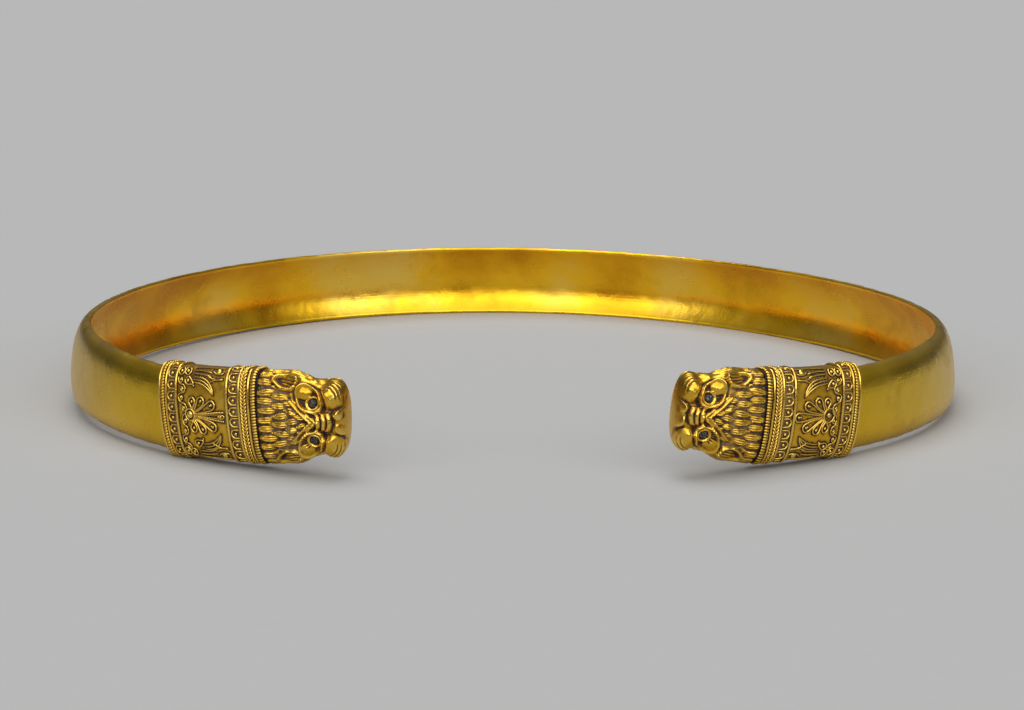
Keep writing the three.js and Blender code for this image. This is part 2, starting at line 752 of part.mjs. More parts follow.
addPiece('hoop', hoopGeometry(), GOLD);
for (const side of SIDES) {
  const plan = collarPlan(side);
  const { name } = side;
  addPiece(`${name}_collar`, collarGeometry(side), BRIGHT_GOLD);
  addPiece(
    `${name}_rear_beaded_wire`,
    wireRingGeometry(side, plan.rearWire, REAR_WIRE_WIDTH, BEADED_WIRE_HEIGHT), BRIGHT_GOLD,
  );
  addPiece(
    `${name}_plait`, wireRingGeometry(side, plan.plait, PLAIT_WIDTH, PLAIT_HEIGHT), BRIGHT_GOLD,
  );
  addPiece(
    `${name}_front_beaded_wire`,
    wireRingGeometry(side, plan.frontWire, FRONT_WIRE_WIDTH, BEADED_WIRE_HEIGHT), BRIGHT_GOLD,
  );
  addPiece(`${name}_lion_head`, headWithSockets(side), BRIGHT_GOLD);
  addPiece(`${name}_upper_eye`, eyePeg(side, 1, EYE_RADIUS, EYE_DEPTH, EYE_RISE), EYE_GLASS);
  addPiece(`${name}_lower_eye`, eyePeg(side, -1, EYE_RADIUS, EYE_DEPTH, EYE_RISE), EYE_GLASS);
}

// The lowest vertex above a plane, among the pieces and vertices that a test accepts
function lowest(plane, accepts) {
  const found = new THREE.Vector3(0, 0, Infinity);
  let least = Infinity;
  for (const mesh of ring.children) {
    const position = mesh.geometry.getAttribute('position');
    for (let i = 0; i < position.count; i += 1) {
      const vertex = new THREE.Vector3().fromBufferAttribute(position, i);
      const height = vertex.z - plane.x * vertex.x - plane.y * vertex.y;
      if (height < least && accepts(mesh, vertex)) {
        least = height;
        found.copy(vertex);
      }
    }
  }
  return found;
}

// The three feet of the lying ring are both collars and the back of the hoop's lower rim
function restingPlane() {
  const plane = new THREE.Vector3();
  for (let pass = 0; pass < 4; pass += 1) {
    const left = lowest(plane, (mesh) => mesh.name.startsWith('left'));
    const right = lowest(plane, (mesh) => mesh.name.startsWith('right'));
    const back = lowest(plane, (mesh, vertex) => mesh.name === 'hoop' && vertex.y > RING_RADIUS / 2);
    const across = right.clone().sub(left);
    const rearward = back.clone().sub(left);
    const normal = across.cross(rearward).normalize();
    plane.set(-normal.x / normal.z, -normal.y / normal.z, normal.dot(left) / normal.z);
  }
  return plane;
}

// Lays the ring on z = 0, with small worn flats where it touches
function settle() {
  const plane = restingPlane();
  for (const mesh of ring.children) {
    const position = mesh.geometry.getAttribute('position');
    for (let i = 0; i < position.count; i += 1) {
      const under = plane.x * position.getX(i) + plane.y * position.getY(i) + plane.z + REST_FLAT;
      position.setZ(i, Math.max(position.getZ(i) - under, 0));
    }
    mesh.geometry.computeVertexNormals();
  }
}

settle();
const bounds = new THREE.Box3().setFromObject(ring);
const centre = bounds.getCenter(new THREE.Vector3());
ring.position.set(-centre.x, -centre.y, 0);

const necklace = new THREE.Group();
necklace.add(ring);

export default necklace;
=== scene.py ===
"""Looks of an open gold neck ring with two lion-head terminals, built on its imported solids.

The ring lies flat and its gap faces -Y. The ring's own sizes are in millimetres, as in the part's
source, and every mesh is turned into metres when it is made.
"""
import math

import bpy
import numpy as np
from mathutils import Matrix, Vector, kdtree


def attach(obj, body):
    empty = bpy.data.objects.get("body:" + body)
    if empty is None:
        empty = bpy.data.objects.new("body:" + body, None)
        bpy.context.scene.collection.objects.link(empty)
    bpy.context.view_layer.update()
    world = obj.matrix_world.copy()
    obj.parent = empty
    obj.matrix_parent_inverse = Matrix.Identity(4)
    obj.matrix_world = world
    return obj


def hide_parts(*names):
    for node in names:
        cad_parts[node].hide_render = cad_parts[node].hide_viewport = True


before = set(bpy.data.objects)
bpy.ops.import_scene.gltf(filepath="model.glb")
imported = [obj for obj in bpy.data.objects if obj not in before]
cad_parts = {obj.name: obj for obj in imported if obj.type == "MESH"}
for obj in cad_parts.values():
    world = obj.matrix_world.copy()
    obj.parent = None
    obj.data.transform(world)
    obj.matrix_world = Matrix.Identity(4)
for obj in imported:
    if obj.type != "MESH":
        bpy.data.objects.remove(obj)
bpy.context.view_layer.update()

MM = 0.001

# Camera, fitted to the photograph
PHOTO_WIDTH = 1024
SENSOR_WIDTH = 36
AIM = Vector((-0.68, -2.66, 7.30)) * MM
CAMERA_PLACE = Vector((-0.36, -572.4, 116.04)) * MM
CAMERA_LENS = 117.67
CAMERA_ROLL = 0.27
AIM_LEFT_OF_CENTRE = 2.43
AIM_ABOVE_CENTRE = 7.13

# Ring plan
RING_RADIUS = 72.7
PLAN_WAVE_COS = -0.0254
PLAN_WAVE_SIN = -0.0096
RULE_OFFSET = 2.9
RING_SHIFT = (-0.6817, -2.6553)
REST_SLOPES = (0.003108, 0.011622)
REST_LEVEL = -7.2971
PLAN_STEPS = 1440
SECTION_STEPS = 720

# Hoop band
BAND_HEIGHT = 13.2
BAND_DEPTH = 2.75
BAND_WALL = 0.9
HOLLOW_DEPTH = 2.25
BAND_POWER = 2.3
BAND_LEAN = 0.106
BAND_INSERT = 12
RIM_OFFSET = -0.45
LEAN_RUN = 40
LIFT_RUN = 30
HOOP_STATIONS = 640
BAND_COLUMNS = 34
RIM_COLUMNS = 6

# Collar sleeve and the bands of ornament on it
COLLAR_WALL = 0.4
COLLAR_CENTRE_OFFSET = 0.4
SLEEVE_HALF = 7.2
SLEEVE_FRONT = 2.5
SLEEVE_BACK = 2.5
SLEEVE_POWER = 2.5
SLEEVE_BACK_POWER = 6
PLAIN_WIRE_WIDTH = 0.55
WIRE_GAP = 0.05
REAR_WIRE_WIDTH = 0.85
PLAIT_WIDTH = 1.1
FRONT_WIRE_WIDTH = 1.15
FRIEZE_WIDTH = 1.7
FILIGREE_RADIUS = 0.15
TONGUE_PITCH = 1.72
BEAD_PITCH = 0.45
TWIST_PITCH = 1.1
SLEEVE_COLUMNS = 220
SLEEVE_ROW_STEP = 0.14
LIP_ROUNDING = 0.12
WALL_ROWS = 14

# Lion head
HEAD_LENGTH = 14.25
HEAD_HALF_HEIGHT = 7.15
MUZZLE_HALF_HEIGHT = 6.0
HEAD_CROWN = 3.35
FOREHEAD_RISE = 0.5
FOREHEAD_SHARE = 0.52
FOREHEAD_SPREAD = 0.18
MUZZLE_FROM = 0.36
MUZZLE_TO = 0.64
JAW_DEPTH = 2.8
HEAD_CENTRE_OFFSET = 0.25
HEAD_POWER = 2.4
NECK_GAP = 0.35
NECK_INSERT = 4
FACE_DROP = -0.25
TIP_START = 0.84
TIP_POWER = 2.5
LOCKS_AROUND = 24
EYE_SHARE = 0.665
EYE_SPREAD = 3.0
EYE_RADIUS = 0.68
HEAD_ROWS = 215
TIP_ROWS = 50
FACE_COLUMNS = 250
JAW_COLUMNS = 80
FACE_PART = 0.62


# Small helpers

def lerp(a, b, t):
    return a + (b - a) * t


def smooth(x, low, high):
    t = np.clip((np.asarray(x, float) - low) / (high - low), 0, 1)
    return t * t * (3 - 2 * t)


def ridge(distance, width):
    return np.exp(-((distance / width) ** 2))


def scatter(number):
    """A fixed, uneven value from 0 to 1 for each whole number."""
    return np.mod(np.sin(np.asarray(number, float) * 12.9898 + 4.1414) * 43758.5453, 1.0)


def waver(x, seed, waves=5):
    """A smooth, uneven line about 0, up to about 1 high, whose longest wave is about 6 long."""
    total = np.zeros_like(np.asarray(x, float))
    for k in range(waves):
        pace = (k + 1) * (0.8 + 0.4 * scatter(seed + 7 * k))
        total += np.sin(x * pace + 6.283 * scatter(seed + 3 * k)) / (k + 1.5)
    return total / 1.6


def uneven(x, y, layers):
    """Low unevenness from layers of (depth, share of x, share of y, seed)."""
    return sum(depth * waver(x * by_x + y * by_y, seed) for depth, by_x, by_y, seed in layers)


def run_lengths(x, y):
    """Length along a line of points, counted from its first one."""
    return np.concatenate([[0], np.cumsum(np.hypot(np.diff(x), np.diff(y)))])


def full_turn(count):
    return 2 * math.pi * np.arange(count) / count


# The ring's own surfaces

def plan_point(angle, offset):
    wave = PLAN_WAVE_COS * np.cos(3 * angle) + PLAN_WAVE_SIN * np.sin(3 * angle)
    wave_slope = 3 * (PLAN_WAVE_SIN * np.cos(3 * angle) - PLAN_WAVE_COS * np.sin(3 * angle))
    radius = RING_RADIUS * (1 + wave)
    slope = RING_RADIUS * wave_slope
    dx = slope * np.sin(angle) + radius * np.cos(angle)
    dy = radius * np.sin(angle) - slope * np.cos(angle)
    length = np.hypot(dx, dy)
    x = radius * np.sin(angle) + offset * dy / length
    y = -radius * np.cos(angle) - offset * dx / length
    return x, y


def settled(x, y, z):
    """Lays a point of the ring on the floor, where the feet are worn flat."""
    under = REST_SLOPES[0] * x + REST_SLOPES[1] * y + REST_LEVEL
    level = np.maximum(z - under, 0.0)
    return np.stack(np.broadcast_arrays(x + RING_SHIFT[0], y + RING_SHIFT[1], level), -1)


class End:
    """One end of the ring. s runs from the collar's rear to the snout, o outward and z up."""

    def __init__(self, name, sign, start_angle, collar_length, lift, slant, face_ahead):
        self.name = name
        self.sign = sign
        self.collar_length = collar_length
        self.lift = lift
        self.slant = slant
        self.face_ahead = face_ahead
        self.eye_share = EYE_SHARE + face_ahead / 100
        self.angles = np.linspace(0, math.pi, PLAN_STEPS + 1)
        x, y = plan_point(sign * self.angles, RULE_OFFSET)
        self.arcs = run_lengths(x, y)
        self.start_arc = np.interp(math.radians(start_angle), self.angles, self.arcs)
        self.head_start = collar_length + NECK_GAP
        self.head_end = self.head_start + HEAD_LENGTH

    def along(self, values, s):
        on_collar = lerp(values[0], values[1], np.clip(s / self.collar_length, 0, 1))
        rest = (s - self.collar_length) / (self.head_end - self.collar_length)
        return np.where(s < self.collar_length, on_collar, lerp(values[1], values[2], rest))

    def angle_at(self, s):
        """The angle from the gap at which a place on the ring lies."""
        return np.interp(self.start_arc - s, self.arcs, self.angles)

    def place(self, s, o, z, slanted=True):
        s = np.asarray(s, float)
        slant = self.along(self.slant, s) if slanted else 0.0
        x, y = plan_point(self.sign * self.angle_at(s - z * slant), o)
        lift = np.where(s < 0, self.lift[0] * smooth(s, -LIFT_RUN, 0), self.along(self.lift, s))
        return settled(x, y, z + lift)


LEFT = End("left", -1, 45.2, 19.8, (-0.65, 0.4, 1.3), (0.13, 0.085, 0.02), -1)
RIGHT = End("right", 1, 46.4, 19.4, (-0.3, 0.6, 2.65), (0.12, 0.12, 0.12), 2)


class Section:
    """Closed section bowed on both faces, read by arc length w from its crown."""

    def __init__(self, half_height, front, back, front_power, back_power):
        turn = np.linspace(0, math.pi, SECTION_STEPS + 1)
        facing = np.cos(turn)
        power = np.where(facing >= 0, front_power, back_power)
        depth = np.where(facing >= 0, front, back)
        self.o = depth * np.sign(facing) * np.abs(facing) ** (2 / power)
        self.z = half_height * np.abs(np.sin(turn)) ** (2 / power)
        self.arcs = run_lengths(self.o, self.z)
        self.half = self.arcs[-1]
        self.quarter = self.arcs[SECTION_STEPS // 2]
        do = np.gradient(self.o, self.arcs)
        dz = np.gradient(self.z, self.arcs)
        length = np.hypot(do, dz)
        self.normal_o = dz / length
        self.normal_z = -do / length

    def at(self, w, height=0.0):
        w = np.mod(np.asarray(w, float) + self.half, 2 * self.half) - self.half
        arc = np.abs(w)
        o = np.interp(arc, self.arcs, self.o) + height * np.interp(arc, self.arcs, self.normal_o)
        z = np.interp(arc, self.arcs, self.z) + height * np.interp(arc, self.arcs, self.normal_z)
        return o, np.where(w < 0, -z, z)


SLEEVE = Section(SLEEVE_HALF, SLEEVE_FRONT, SLEEVE_BACK, SLEEVE_POWER, SLEEVE_BACK_POWER)


def sleeve_place(end, s, w, height):
    o, z = SLEEVE.at(w, height)
    return end.place(s, COLLAR_CENTRE_OFFSET + o, z)


# Meshes

def put(name, data):
    """Puts a new object that carries the data into the scene."""
    item = bpy.data.objects.new(name, data)
    bpy.context.collection.objects.link(item)
    return item


class Surface:
    """Vertices in millimetres, faces, and how soiled or darkened by painted shade and how dusty each
    vertex is, from 0 to 1.
    """

    def __init__(self):
        self.vertices = []
        self.faces = []
        self.soil = []
        self.dust = []
        self.count = 0

    def add(self, vertices, faces, soil, dust=0.0):
        vertices = np.array(vertices, float).reshape(-1, 3)
        vertices[:, 2] = vertices[:, 2].clip(0)
        self.vertices.append(vertices)
        self.faces.append(np.asarray(faces, int) + self.count)
        for store, values in ((self.soil, soil), (self.dust, dust)):
            store.append(np.broadcast_to(np.asarray(values, float).ravel(), (len(vertices),)))
        self.count += len(vertices)

    def close(self, ring, hub, soil=0.0, turned=False):
        """Closes an open end by a fan of triangles from a new vertex, the hub."""
        fan = np.stack([ring, np.roll(ring, -1), np.full(len(ring), self.count)], -1)
        self.faces.append(fan[:, ::-1] if turned else fan)
        self.add([hub], np.zeros((0, 4), int), soil)

    def make(self, name, material, node, slot):
        """Makes the piece, which replaces a solid of the part; the slot is not used."""
        vertices = np.concatenate(self.vertices) * MM
        mesh = bpy.data.meshes.new(name)
        faces = [face.tolist() for block in self.faces for face in block]
        mesh.from_pydata(vertices.tolist(), [], faces)
        for label, store in (("soil", self.soil), ("dust", self.dust)):
            values = mesh.attributes.new(label, "FLOAT", "POINT")
            values.data.foreach_set("value", np.concatenate(store).astype(np.float32))
        mesh.polygons.foreach_set("use_smooth", np.ones(len(mesh.polygons), bool))
        mesh.materials.append(material)
        mesh.update()
        piece = put(name, mesh)
        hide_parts(node)
        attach(piece, "root")


def grid_faces(rows, columns, loop_rows=False):
    """Faces of a grid of vertices whose rows are closed; its columns may be closed too."""
    i = np.arange(rows if loop_rows else rows - 1)
    i, j = np.meshgrid(i, np.arange(columns), indexing="ij")
    below = (i + 1) % rows
    right = (j + 1) % columns
    corners = [i * columns + j, i * columns + right, below * columns + right, below * columns + j]
    return np.stack(corners, -1).reshape(-1, 4)


def facing_out(points, faces, inside, probe=None):
    """Turns the faces round if the probe, one of them, looks towards a point inside."""
    probe = len(faces) // 2 if probe is None else probe
    a, b, c = points.reshape(-1, 3)[faces[probe][:3]]
    return faces[:, ::-1] if np.dot(np.cross(b - a, c - a), a - inside) < 0 else faces


def normed(vectors):
    return vectors / np.linalg.norm(vectors, axis=1, keepdims=True)


UP_STEP = 0.2
WIRE_END_SHARES = (0.15, 0.75, 0.75, 0.15)
GRAIN_FALL = 0.68 * math.pi
GRAIN_LIFT = 0.35


class Ornament(Surface):
    """Wires and grains of gold on the sleeve of one end."""

    def __init__(self, end):
        super().__init__()
        self.end = end

    def tube(self, s, w, height, side_radius, up_radius, closed, sides=7, underside_shade=0.75,
             up_step=UP_STEP):
        """A wire whose middle runs through the places s, w at a height over the sleeve.

        A second line, up_step higher, gives the way off the sleeve.
        """
        centres = sleeve_place(self.end, s, w, height)
        above = sleeve_place(self.end, s, w, height + up_step)
        taper = np.ones(len(centres))
        if closed:
            along = normed(np.roll(centres, -1, 0) - np.roll(centres, 1, 0))
        else:
            along = normed(np.gradient(centres, axis=0))
            taper[[0, 1, -2, -1]] = WIRE_END_SHARES
        across = normed(np.cross(along, above - centres))
        up = np.cross(across, along)
        turn = full_turn(sides)
        ring = (
            centres[:, None, :]
            + across[:, None, :] * np.outer(taper * side_radius, np.sin(turn))[:, :, None]
            + up[:, None, :] * np.outer(taper * up_radius, np.cos(turn))[:, :, None]
        )
        # Painted shade darkens the underside of the wire; its clean top takes the pale painted highlight
        # of the gold.
        soil = np.broadcast_to(smooth(-np.cos(turn), -0.6, 0.5) * underside_shade, ring.shape[:2])
        faces = grid_faces(len(centres), sides, loop_rows=closed)
        self.add(ring, facing_out(ring, faces, centres[0 if closed else len(centres) // 2]), soil)

    def wire(self, s, w, radius=FILIGREE_RADIUS, closed=False, lift=0.75, sides=7):
        """A plain wire soldered on along the places s, w."""
        self.tube(s, w, radius * lift, radius, radius, closed, sides)

    def line(self, places, radius):
        self.wire(places[:, 0], places[:, 1], radius)

    def ring(self, s, w, size, radius=FILIGREE_RADIUS):
        turn = full_turn(24)
        self.wire(s + size * np.cos(turn), w + size * np.sin(turn), radius, closed=True)

    def grain(self, s, w, radius, flat=0.85, rings=6, sides=10):
        """A grain of gold, most of it standing proud."""
        turn = full_turn(sides)
        fall = np.linspace(0.0, GRAIN_FALL, rings)[:, None]
        r = radius * np.sin(fall)
        height = radius * flat * (GRAIN_LIFT + np.cos(fall)) + 0 * turn
        points = sleeve_place(self.end, s + r * np.cos(turn), w + r * np.sin(turn), height)
        faces = facing_out(points, grid_faces(rings, sides), sleeve_place(self.end, s, w, 0.0))
        # Painted shade darkens the underside of the grain; its clean top takes the pale painted
        # highlight.
        self.add(points, faces, np.broadcast_to(0.8 * smooth(fall, 1.2, 2.1), (rings, sides)))


# Materials

class Nodes:
    """Short forms for making the nodes of a material or of the room."""

    def __init__(self, owner):
        owner.use_nodes = True
        self.owner = owner
        self.tree = owner.node_tree

    def feed(self, socket, value):
        if isinstance(value, bpy.types.NodeSocket):
            self.tree.links.new(value, socket)
        else:
            socket.default_value = (*value, 1.0) if socket.type == "RGBA" else value

    def new(self, kind, inputs=None, **settings):
        node = self.tree.nodes.new(kind)
        for key, value in settings.items():
            setattr(node, key, value)
        for key, value in (inputs or {}).items():
            self.feed(node.inputs[key], value)
        return node

    def shade(self, inputs, shader="Principled BSDF"):
        """Feeds the shader and gives back the material or room that the nodes belong to."""
        for key, value in inputs.items():
            self.feed(self.tree.nodes[shader].inputs[key], value)
        return self.owner

    def noise(self, pattern, detail=4.0, roughness=0.55, stretch=(1, 1, 1)):
        """Cloudy pattern in object coordinates, of a size from WAVES."""
        place = self.new("ShaderNodeTexCoord").outputs["Object"]
        scales = [WAVES[pattern] * k for k in stretch]
        place = self.new("ShaderNodeMapping", {"Vector": place, "Scale": scales}).outputs["Vector"]
        inputs = {"Vector": place, "Scale": 1.0, "Detail": detail, "Roughness": roughness}
        return self.new("ShaderNodeTexNoise", inputs).outputs["Fac"]

    def ramp(self, source, stops):
        node = self.new("ShaderNodeValToRGB", {"Fac": source})
        elements = node.color_ramp.elements
        while len(elements) < len(stops):
            elements.new(0.5)
        for element, (position, colour) in zip(elements, stops):
            element.position = position
            element.color = (*colour, 1.0)
        return node.outputs["Color"]

    def grey_ramp(self, source, stops):
        return self.ramp(source, [(position, (value, value, value)) for position, value in stops])

    def range(self, source, low, high, to_low, to_high, **settings):
        limits = {"From Min": low, "From Max": high, "To Min": to_low, "To Max": to_high}
        return self.new("ShaderNodeMapRange", {"Value": source, **limits}, **settings).outputs["Result"]

    def mix(self, factor, a, b):
        inputs = {"Factor": factor, "A": a, "B": b}
        return self.new("ShaderNodeMix", inputs, data_type="RGBA").outputs["Result"]

    def math(self, operation, a, b):
        return self.new("ShaderNodeMath", {0: a, 1: b}, operation=operation).outputs["Value"]

    def vector(self, operation, a, b=None):
        """Gives all the outputs, because they differ from one operation to the next."""
        inputs = {0: a} if b is None else {0: a, 1: b}
        return self.new("ShaderNodeVectorMath", inputs, operation=operation).outputs

    def painted(self, label):
        """A value kept on the mesh: soil with painted shade, or dust, which on the band means its hollow
        side.
        """
        return self.new("ShaderNodeAttribute", attribute_name=label).outputs["Fac"]

    def bump(self, pattern, height, under=None):
        strength, depth = BUMPS[pattern]
        inputs = {"Height": height, "Strength": strength, "Distance": depth}
        if under is not None:
            inputs["Normal"] = under
        return self.new("ShaderNodeBump", inputs).outputs["Normal"]


GOLD = (0.82, 0.505, 0.055)
PALE_GOLD = (0.88, 0.62, 0.13)
RED_GOLD = (0.76, 0.42, 0.03)
DEEP_GOLD = (0.60, 0.32, 0.014)
# Pale gold, partly wear and partly a painted highlight on what stands proud
WEAR_AND_SHEEN_GOLD = (0.92, 0.69, 0.2)
BAND_YELLOW = (0.75, 0.47, 0.022)
BAND_PALE = (0.80, 0.53, 0.045)
BAND_OLIVE = (0.62, 0.385, 0.016)
HOLLOW_ORANGE = (0.91, 0.52, 0.02)
HOLLOW_BROWN = (0.72, 0.35, 0.012)
# Grime colours, which also stand for painted shade in gaps and recesses
GRIME_AND_SHADE = (0.11, 0.05, 0.012)
BLACK_GRIME_AND_SHADE = (0.018, 0.008, 0.005)
MAUVE_DUST = (0.26, 0.175, 0.10)
STAIN_BROWN = (0.40, 0.20, 0.012)
FLOOR_DARK = (0.417, 0.417, 0.417)
FLOOR_PALE = (0.423, 0.423, 0.423)

# Colours by the value of a pattern
GOLD_TINTS = [(0.30, RED_GOLD), (0.5, GOLD), (0.70, PALE_GOLD)]
OUTSIDE_TINTS = [(0.32, BAND_OLIVE), (0.5, BAND_YELLOW), (0.7, BAND_PALE)]
# The hollow side is tinted deeper orange: painted reflected light bounced inside the band
HOLLOW_BOUNCE_TINTS = [(0.38, HOLLOW_BROWN), (0.52, HOLLOW_ORANGE), (0.75, PALE_GOLD)]
DECAYED_PASTE = [(0.42, (0.008, 0.006, 0.006)), (0.56, (0.05, 0.035, 0.03)), (0.68, (0.20, 0.17, 0.15))]
GLASSY_PASTE = [(0.42, (0.004, 0.004, 0.005)), (0.55, (0.035, 0.035, 0.04)), (0.68, (0.30, 0.29, 0.30))]

# What covers the gold from one amount of soil and painted shade to another
SOIL_AND_SHADE_LAYERS = [(0.0, 0.3, DEEP_GOLD), (0.3, 0.7, GRIME_AND_SHADE), (0.75, 1.0, BLACK_GRIME_AND_SHADE)]
MOST_DUST = 0.9

# Sizes of the patterns, in waves per metre
WAVES = {
    "tint": 170, "soil": 1100, "dust": 650, "polish": 800, "grain": 2800, "paste": 3200, "floor": 300,
    "clouds": 38, "stains": 90, "band_polish": 150, "scratches": 60, "dents": 170, "pits": 2400,
}
SCRATCH_STRETCH = 60

# Strength of each bump, and its depth in metres
BUMPS = {
    "grain": (0.3, 0.00006), "polish": (0.35, 0.0001), "paste": (0.8, 0.0002),
    "pits": (0.25, 0.00005), "scratches": (0.18, 0.00008), "dents": (0.5, 0.0003),
}


def worked_gold(name):
    """Gold with chased and soldered work: a pale painted highlight, partly wear, on what stands proud,
    and soil with painted shade in the recesses.
    """
    n = Nodes(bpy.data.materials.new(name))
    patches = n.range(n.noise("soil"), 0.3, 0.7, 0.8, 1.2)
    soil = n.math("MINIMUM", n.math("MULTIPLY", n.painted("soil"), patches), 1.0)
    # Pale gold where the soil is least: partly wear, partly a painted highlight.
    wear_and_sheen = n.range(soil, 0.0, 0.09, 0.4, 0.0)
    colour = n.mix(wear_and_sheen, n.ramp(n.noise("tint"), GOLD_TINTS), WEAR_AND_SHEEN_GOLD)
    for low, high, layer in SOIL_AND_SHADE_LAYERS:
        colour = n.mix(n.range(soil, low, high, 0.0, 1.0), colour, layer)
    patches = n.range(n.noise("dust", detail=5), 0.4, 0.62, 0.15, 1.1)
    dust = n.math("MINIMUM", n.math("MULTIPLY", n.painted("dust"), patches), MOST_DUST)
    covered = n.math("MAXIMUM", n.range(soil, 0.35, 0.9, 0.0, 0.85), dust)
    polish = n.range(n.noise("polish"), 0.3, 0.7, 0.16, 0.25)
    polish = n.math("ADD", polish, n.range(soil, 0.04, 0.16, 0.0, 0.13))
    grain = n.bump("grain", n.noise("grain", detail=5))
    return n.shade({
        "Base Color": n.mix(dust, colour, MAUVE_DUST),
        "Metallic": n.range(covered, 0.0, 1.0, 1.0, 0.05),
        "Roughness": n.math("ADD", polish, n.range(covered, 0.0, 1.0, 0.0, 0.4)),
        "Normal": n.bump("polish", n.noise("polish", detail=2), grain),
    })


def band_gold(name):
    """Plain worn gold: satin, with long fine scratches, small pits and brownish stains; its hollow side
    is tinted deeper orange as painted reflected light.
    """
    n = Nodes(bpy.data.materials.new(name))
    clouds = n.noise("clouds", detail=6)
    # Painted reflected light: the hollow side takes deeper orange tints than the outside.
    tint = n.mix(n.painted("dust"), n.ramp(clouds, OUTSIDE_TINTS), n.ramp(clouds, HOLLOW_BOUNCE_TINTS))
    stains = n.range(n.noise("stains", detail=8, roughness=0.65), 0.56, 0.74, 0.0, 0.45)
    polish = n.range(n.noise("band_polish", detail=6), 0.3, 0.7, 0.24, 0.34)
    scratches = n.noise("scratches", detail=5, stretch=(1, 1, SCRATCH_STRETCH))
    normal = n.bump("pits", n.noise("pits"))
    normal = n.bump("scratches", scratches, normal)
    return n.shade({
        "Base Color": n.mix(stains, tint, STAIN_BROWN),
        "Metallic": 1.0,
        "Roughness": n.math("ADD", polish, n.math("MULTIPLY", stains, 0.3)),
        "Normal": n.bump("dents", n.noise("dents"), normal),
    })


def eye_inlay(name, decayed):
    """Dark glassy paste; the decayed kind is dull, brown and grainy."""
    n = Nodes(bpy.data.materials.new(name))
    grains = n.noise("paste", detail=3)
    return n.shade({
        "Base Color": n.ramp(grains, DECAYED_PASTE if decayed else GLASSY_PASTE),
        "Roughness": n.range(grains, 0.4, 0.65, 0.12, 0.5),
        "Normal": n.bump("paste", grains),
    })


def floor_paint(name):
    """Smooth matt floor with a barely visible grain."""
    n = Nodes(bpy.data.materials.new(name))
    return n.shade({
        "Base Color": n.ramp(n.noise("floor"), [(0.3, FLOOR_DARK), (0.7, FLOOR_PALE)]),
        "Roughness": 0.9,
        "Specular IOR Level": 0.1,
    })


# Hoop

def band_outline():
    """The band's section as offsets and heights: outer face, upper rim, inner face, lower rim."""
    half_wall = BAND_WALL / 2
    turn = np.linspace(-math.pi / 2, math.pi / 2, SECTION_STEPS + 1)
    reach = BAND_DEPTH - 2 * half_wall
    o = half_wall + reach * np.cos(turn).clip(0) ** (2 / BAND_POWER)
    z = (BAND_HEIGHT / 2 - half_wall) * np.sign(turn) * np.abs(np.sin(turn)) ** (2 / BAND_POWER)
    arcs = run_lengths(o, z)
    even = np.linspace(0, arcs[-1], BAND_COLUMNS)
    o = np.interp(even, arcs, o)
    z = np.interp(even, arcs, z)
    do = np.gradient(o)
    dz = np.gradient(z)
    normal = np.arctan2(-do, dz)
    outer = np.stack([o + half_wall * np.cos(normal), z + half_wall * np.sin(normal)], -1)
    level = np.linspace(z[0], z[-1], BAND_COLUMNS)
    inner = np.stack([HOLLOW_DEPTH * (1 - (level / level[-1]) ** 2), level], -1)
    part = np.linspace(0, math.pi / 2, RIM_COLUMNS + 2)[1:-1]
    rims = []
    for k, start in ((-1, normal[-1]), (0, normal[0] + 1.5 * math.pi)):
        angle = start + part
        rims.append(np.stack([o[k] + half_wall * np.cos(angle), z[k] + half_wall * np.sin(angle)], -1))
    return np.concatenate([outer, rims[0], inner[::-1], rims[1]])


BAND_DENTS = [(0.05, 1 / 5, 0.2, 11), (0.035, 1 / 1.7, -0.3, 23)]
RIM_WEAR = [(0.056, 1 / 2.1, 0, 31), (0.04, 1 / 0.7, 0, 37)]
RIM_STIFFNESS = 0.6


def make_hoop(material):
    outline = band_outline()
    columns = len(outline)
    left_end, right_end = (end.angle_at(BAND_INSERT) for end in (LEFT, RIGHT))
    from_back = np.linspace(left_end - math.pi, math.pi - right_end, HOOP_STATIONS)[:, None]
    o, z = outline.T[:, None, :]
    travel = from_back * RING_RADIUS
    rim = np.abs(z) / (BAND_HEIGHT / 2)
    o_bent = o + uneven(travel, z, BAND_DENTS) * (1 - RIM_STIFFNESS * rim)
    z_bent = z + np.sign(z) * uneven(travel, 0, RIM_WEAR) * smooth(rim, 0.8, 1.0)
    angle = math.pi - np.abs(from_back)
    places = []
    for end in (LEFT, RIGHT):
        s = end.start_arc - np.interp(angle, end.angles, end.arcs)
        lean = BAND_LEAN * smooth(-s, 0, LEAN_RUN)
        places.append(end.place(s, RIM_OFFSET + o_bent - lean * z_bent, z_bent, slanted=False))
    points = np.where((from_back < 0)[:, :, None], places[0], places[1])
    probe = (HOOP_STATIONS // 2) * columns + BAND_COLUMNS // 2
    faces = grid_faces(HOOP_STATIONS, columns)
    faces = facing_out(points, faces, points[HOOP_STATIONS // 2].mean(0), probe)
    hollow = np.zeros(columns)
    hollow[BAND_COLUMNS + 2:2 * BAND_COLUMNS + RIM_COLUMNS - 2] = 1.0
    surface = Surface()
    surface.add(points, faces, 0.0, np.broadcast_to(hollow, (HOOP_STATIONS, columns)))
    for start in (0, (HOOP_STATIONS - 1) * columns):
        a = start + np.arange(columns // 2 - 1)
        b = 2 * start + columns - 1 - a
        surface.faces.append(np.stack([a, a + 1, b - 1, b], -1))
    surface.make("gold_band", material, "hoop", "band_gold")


# Collars

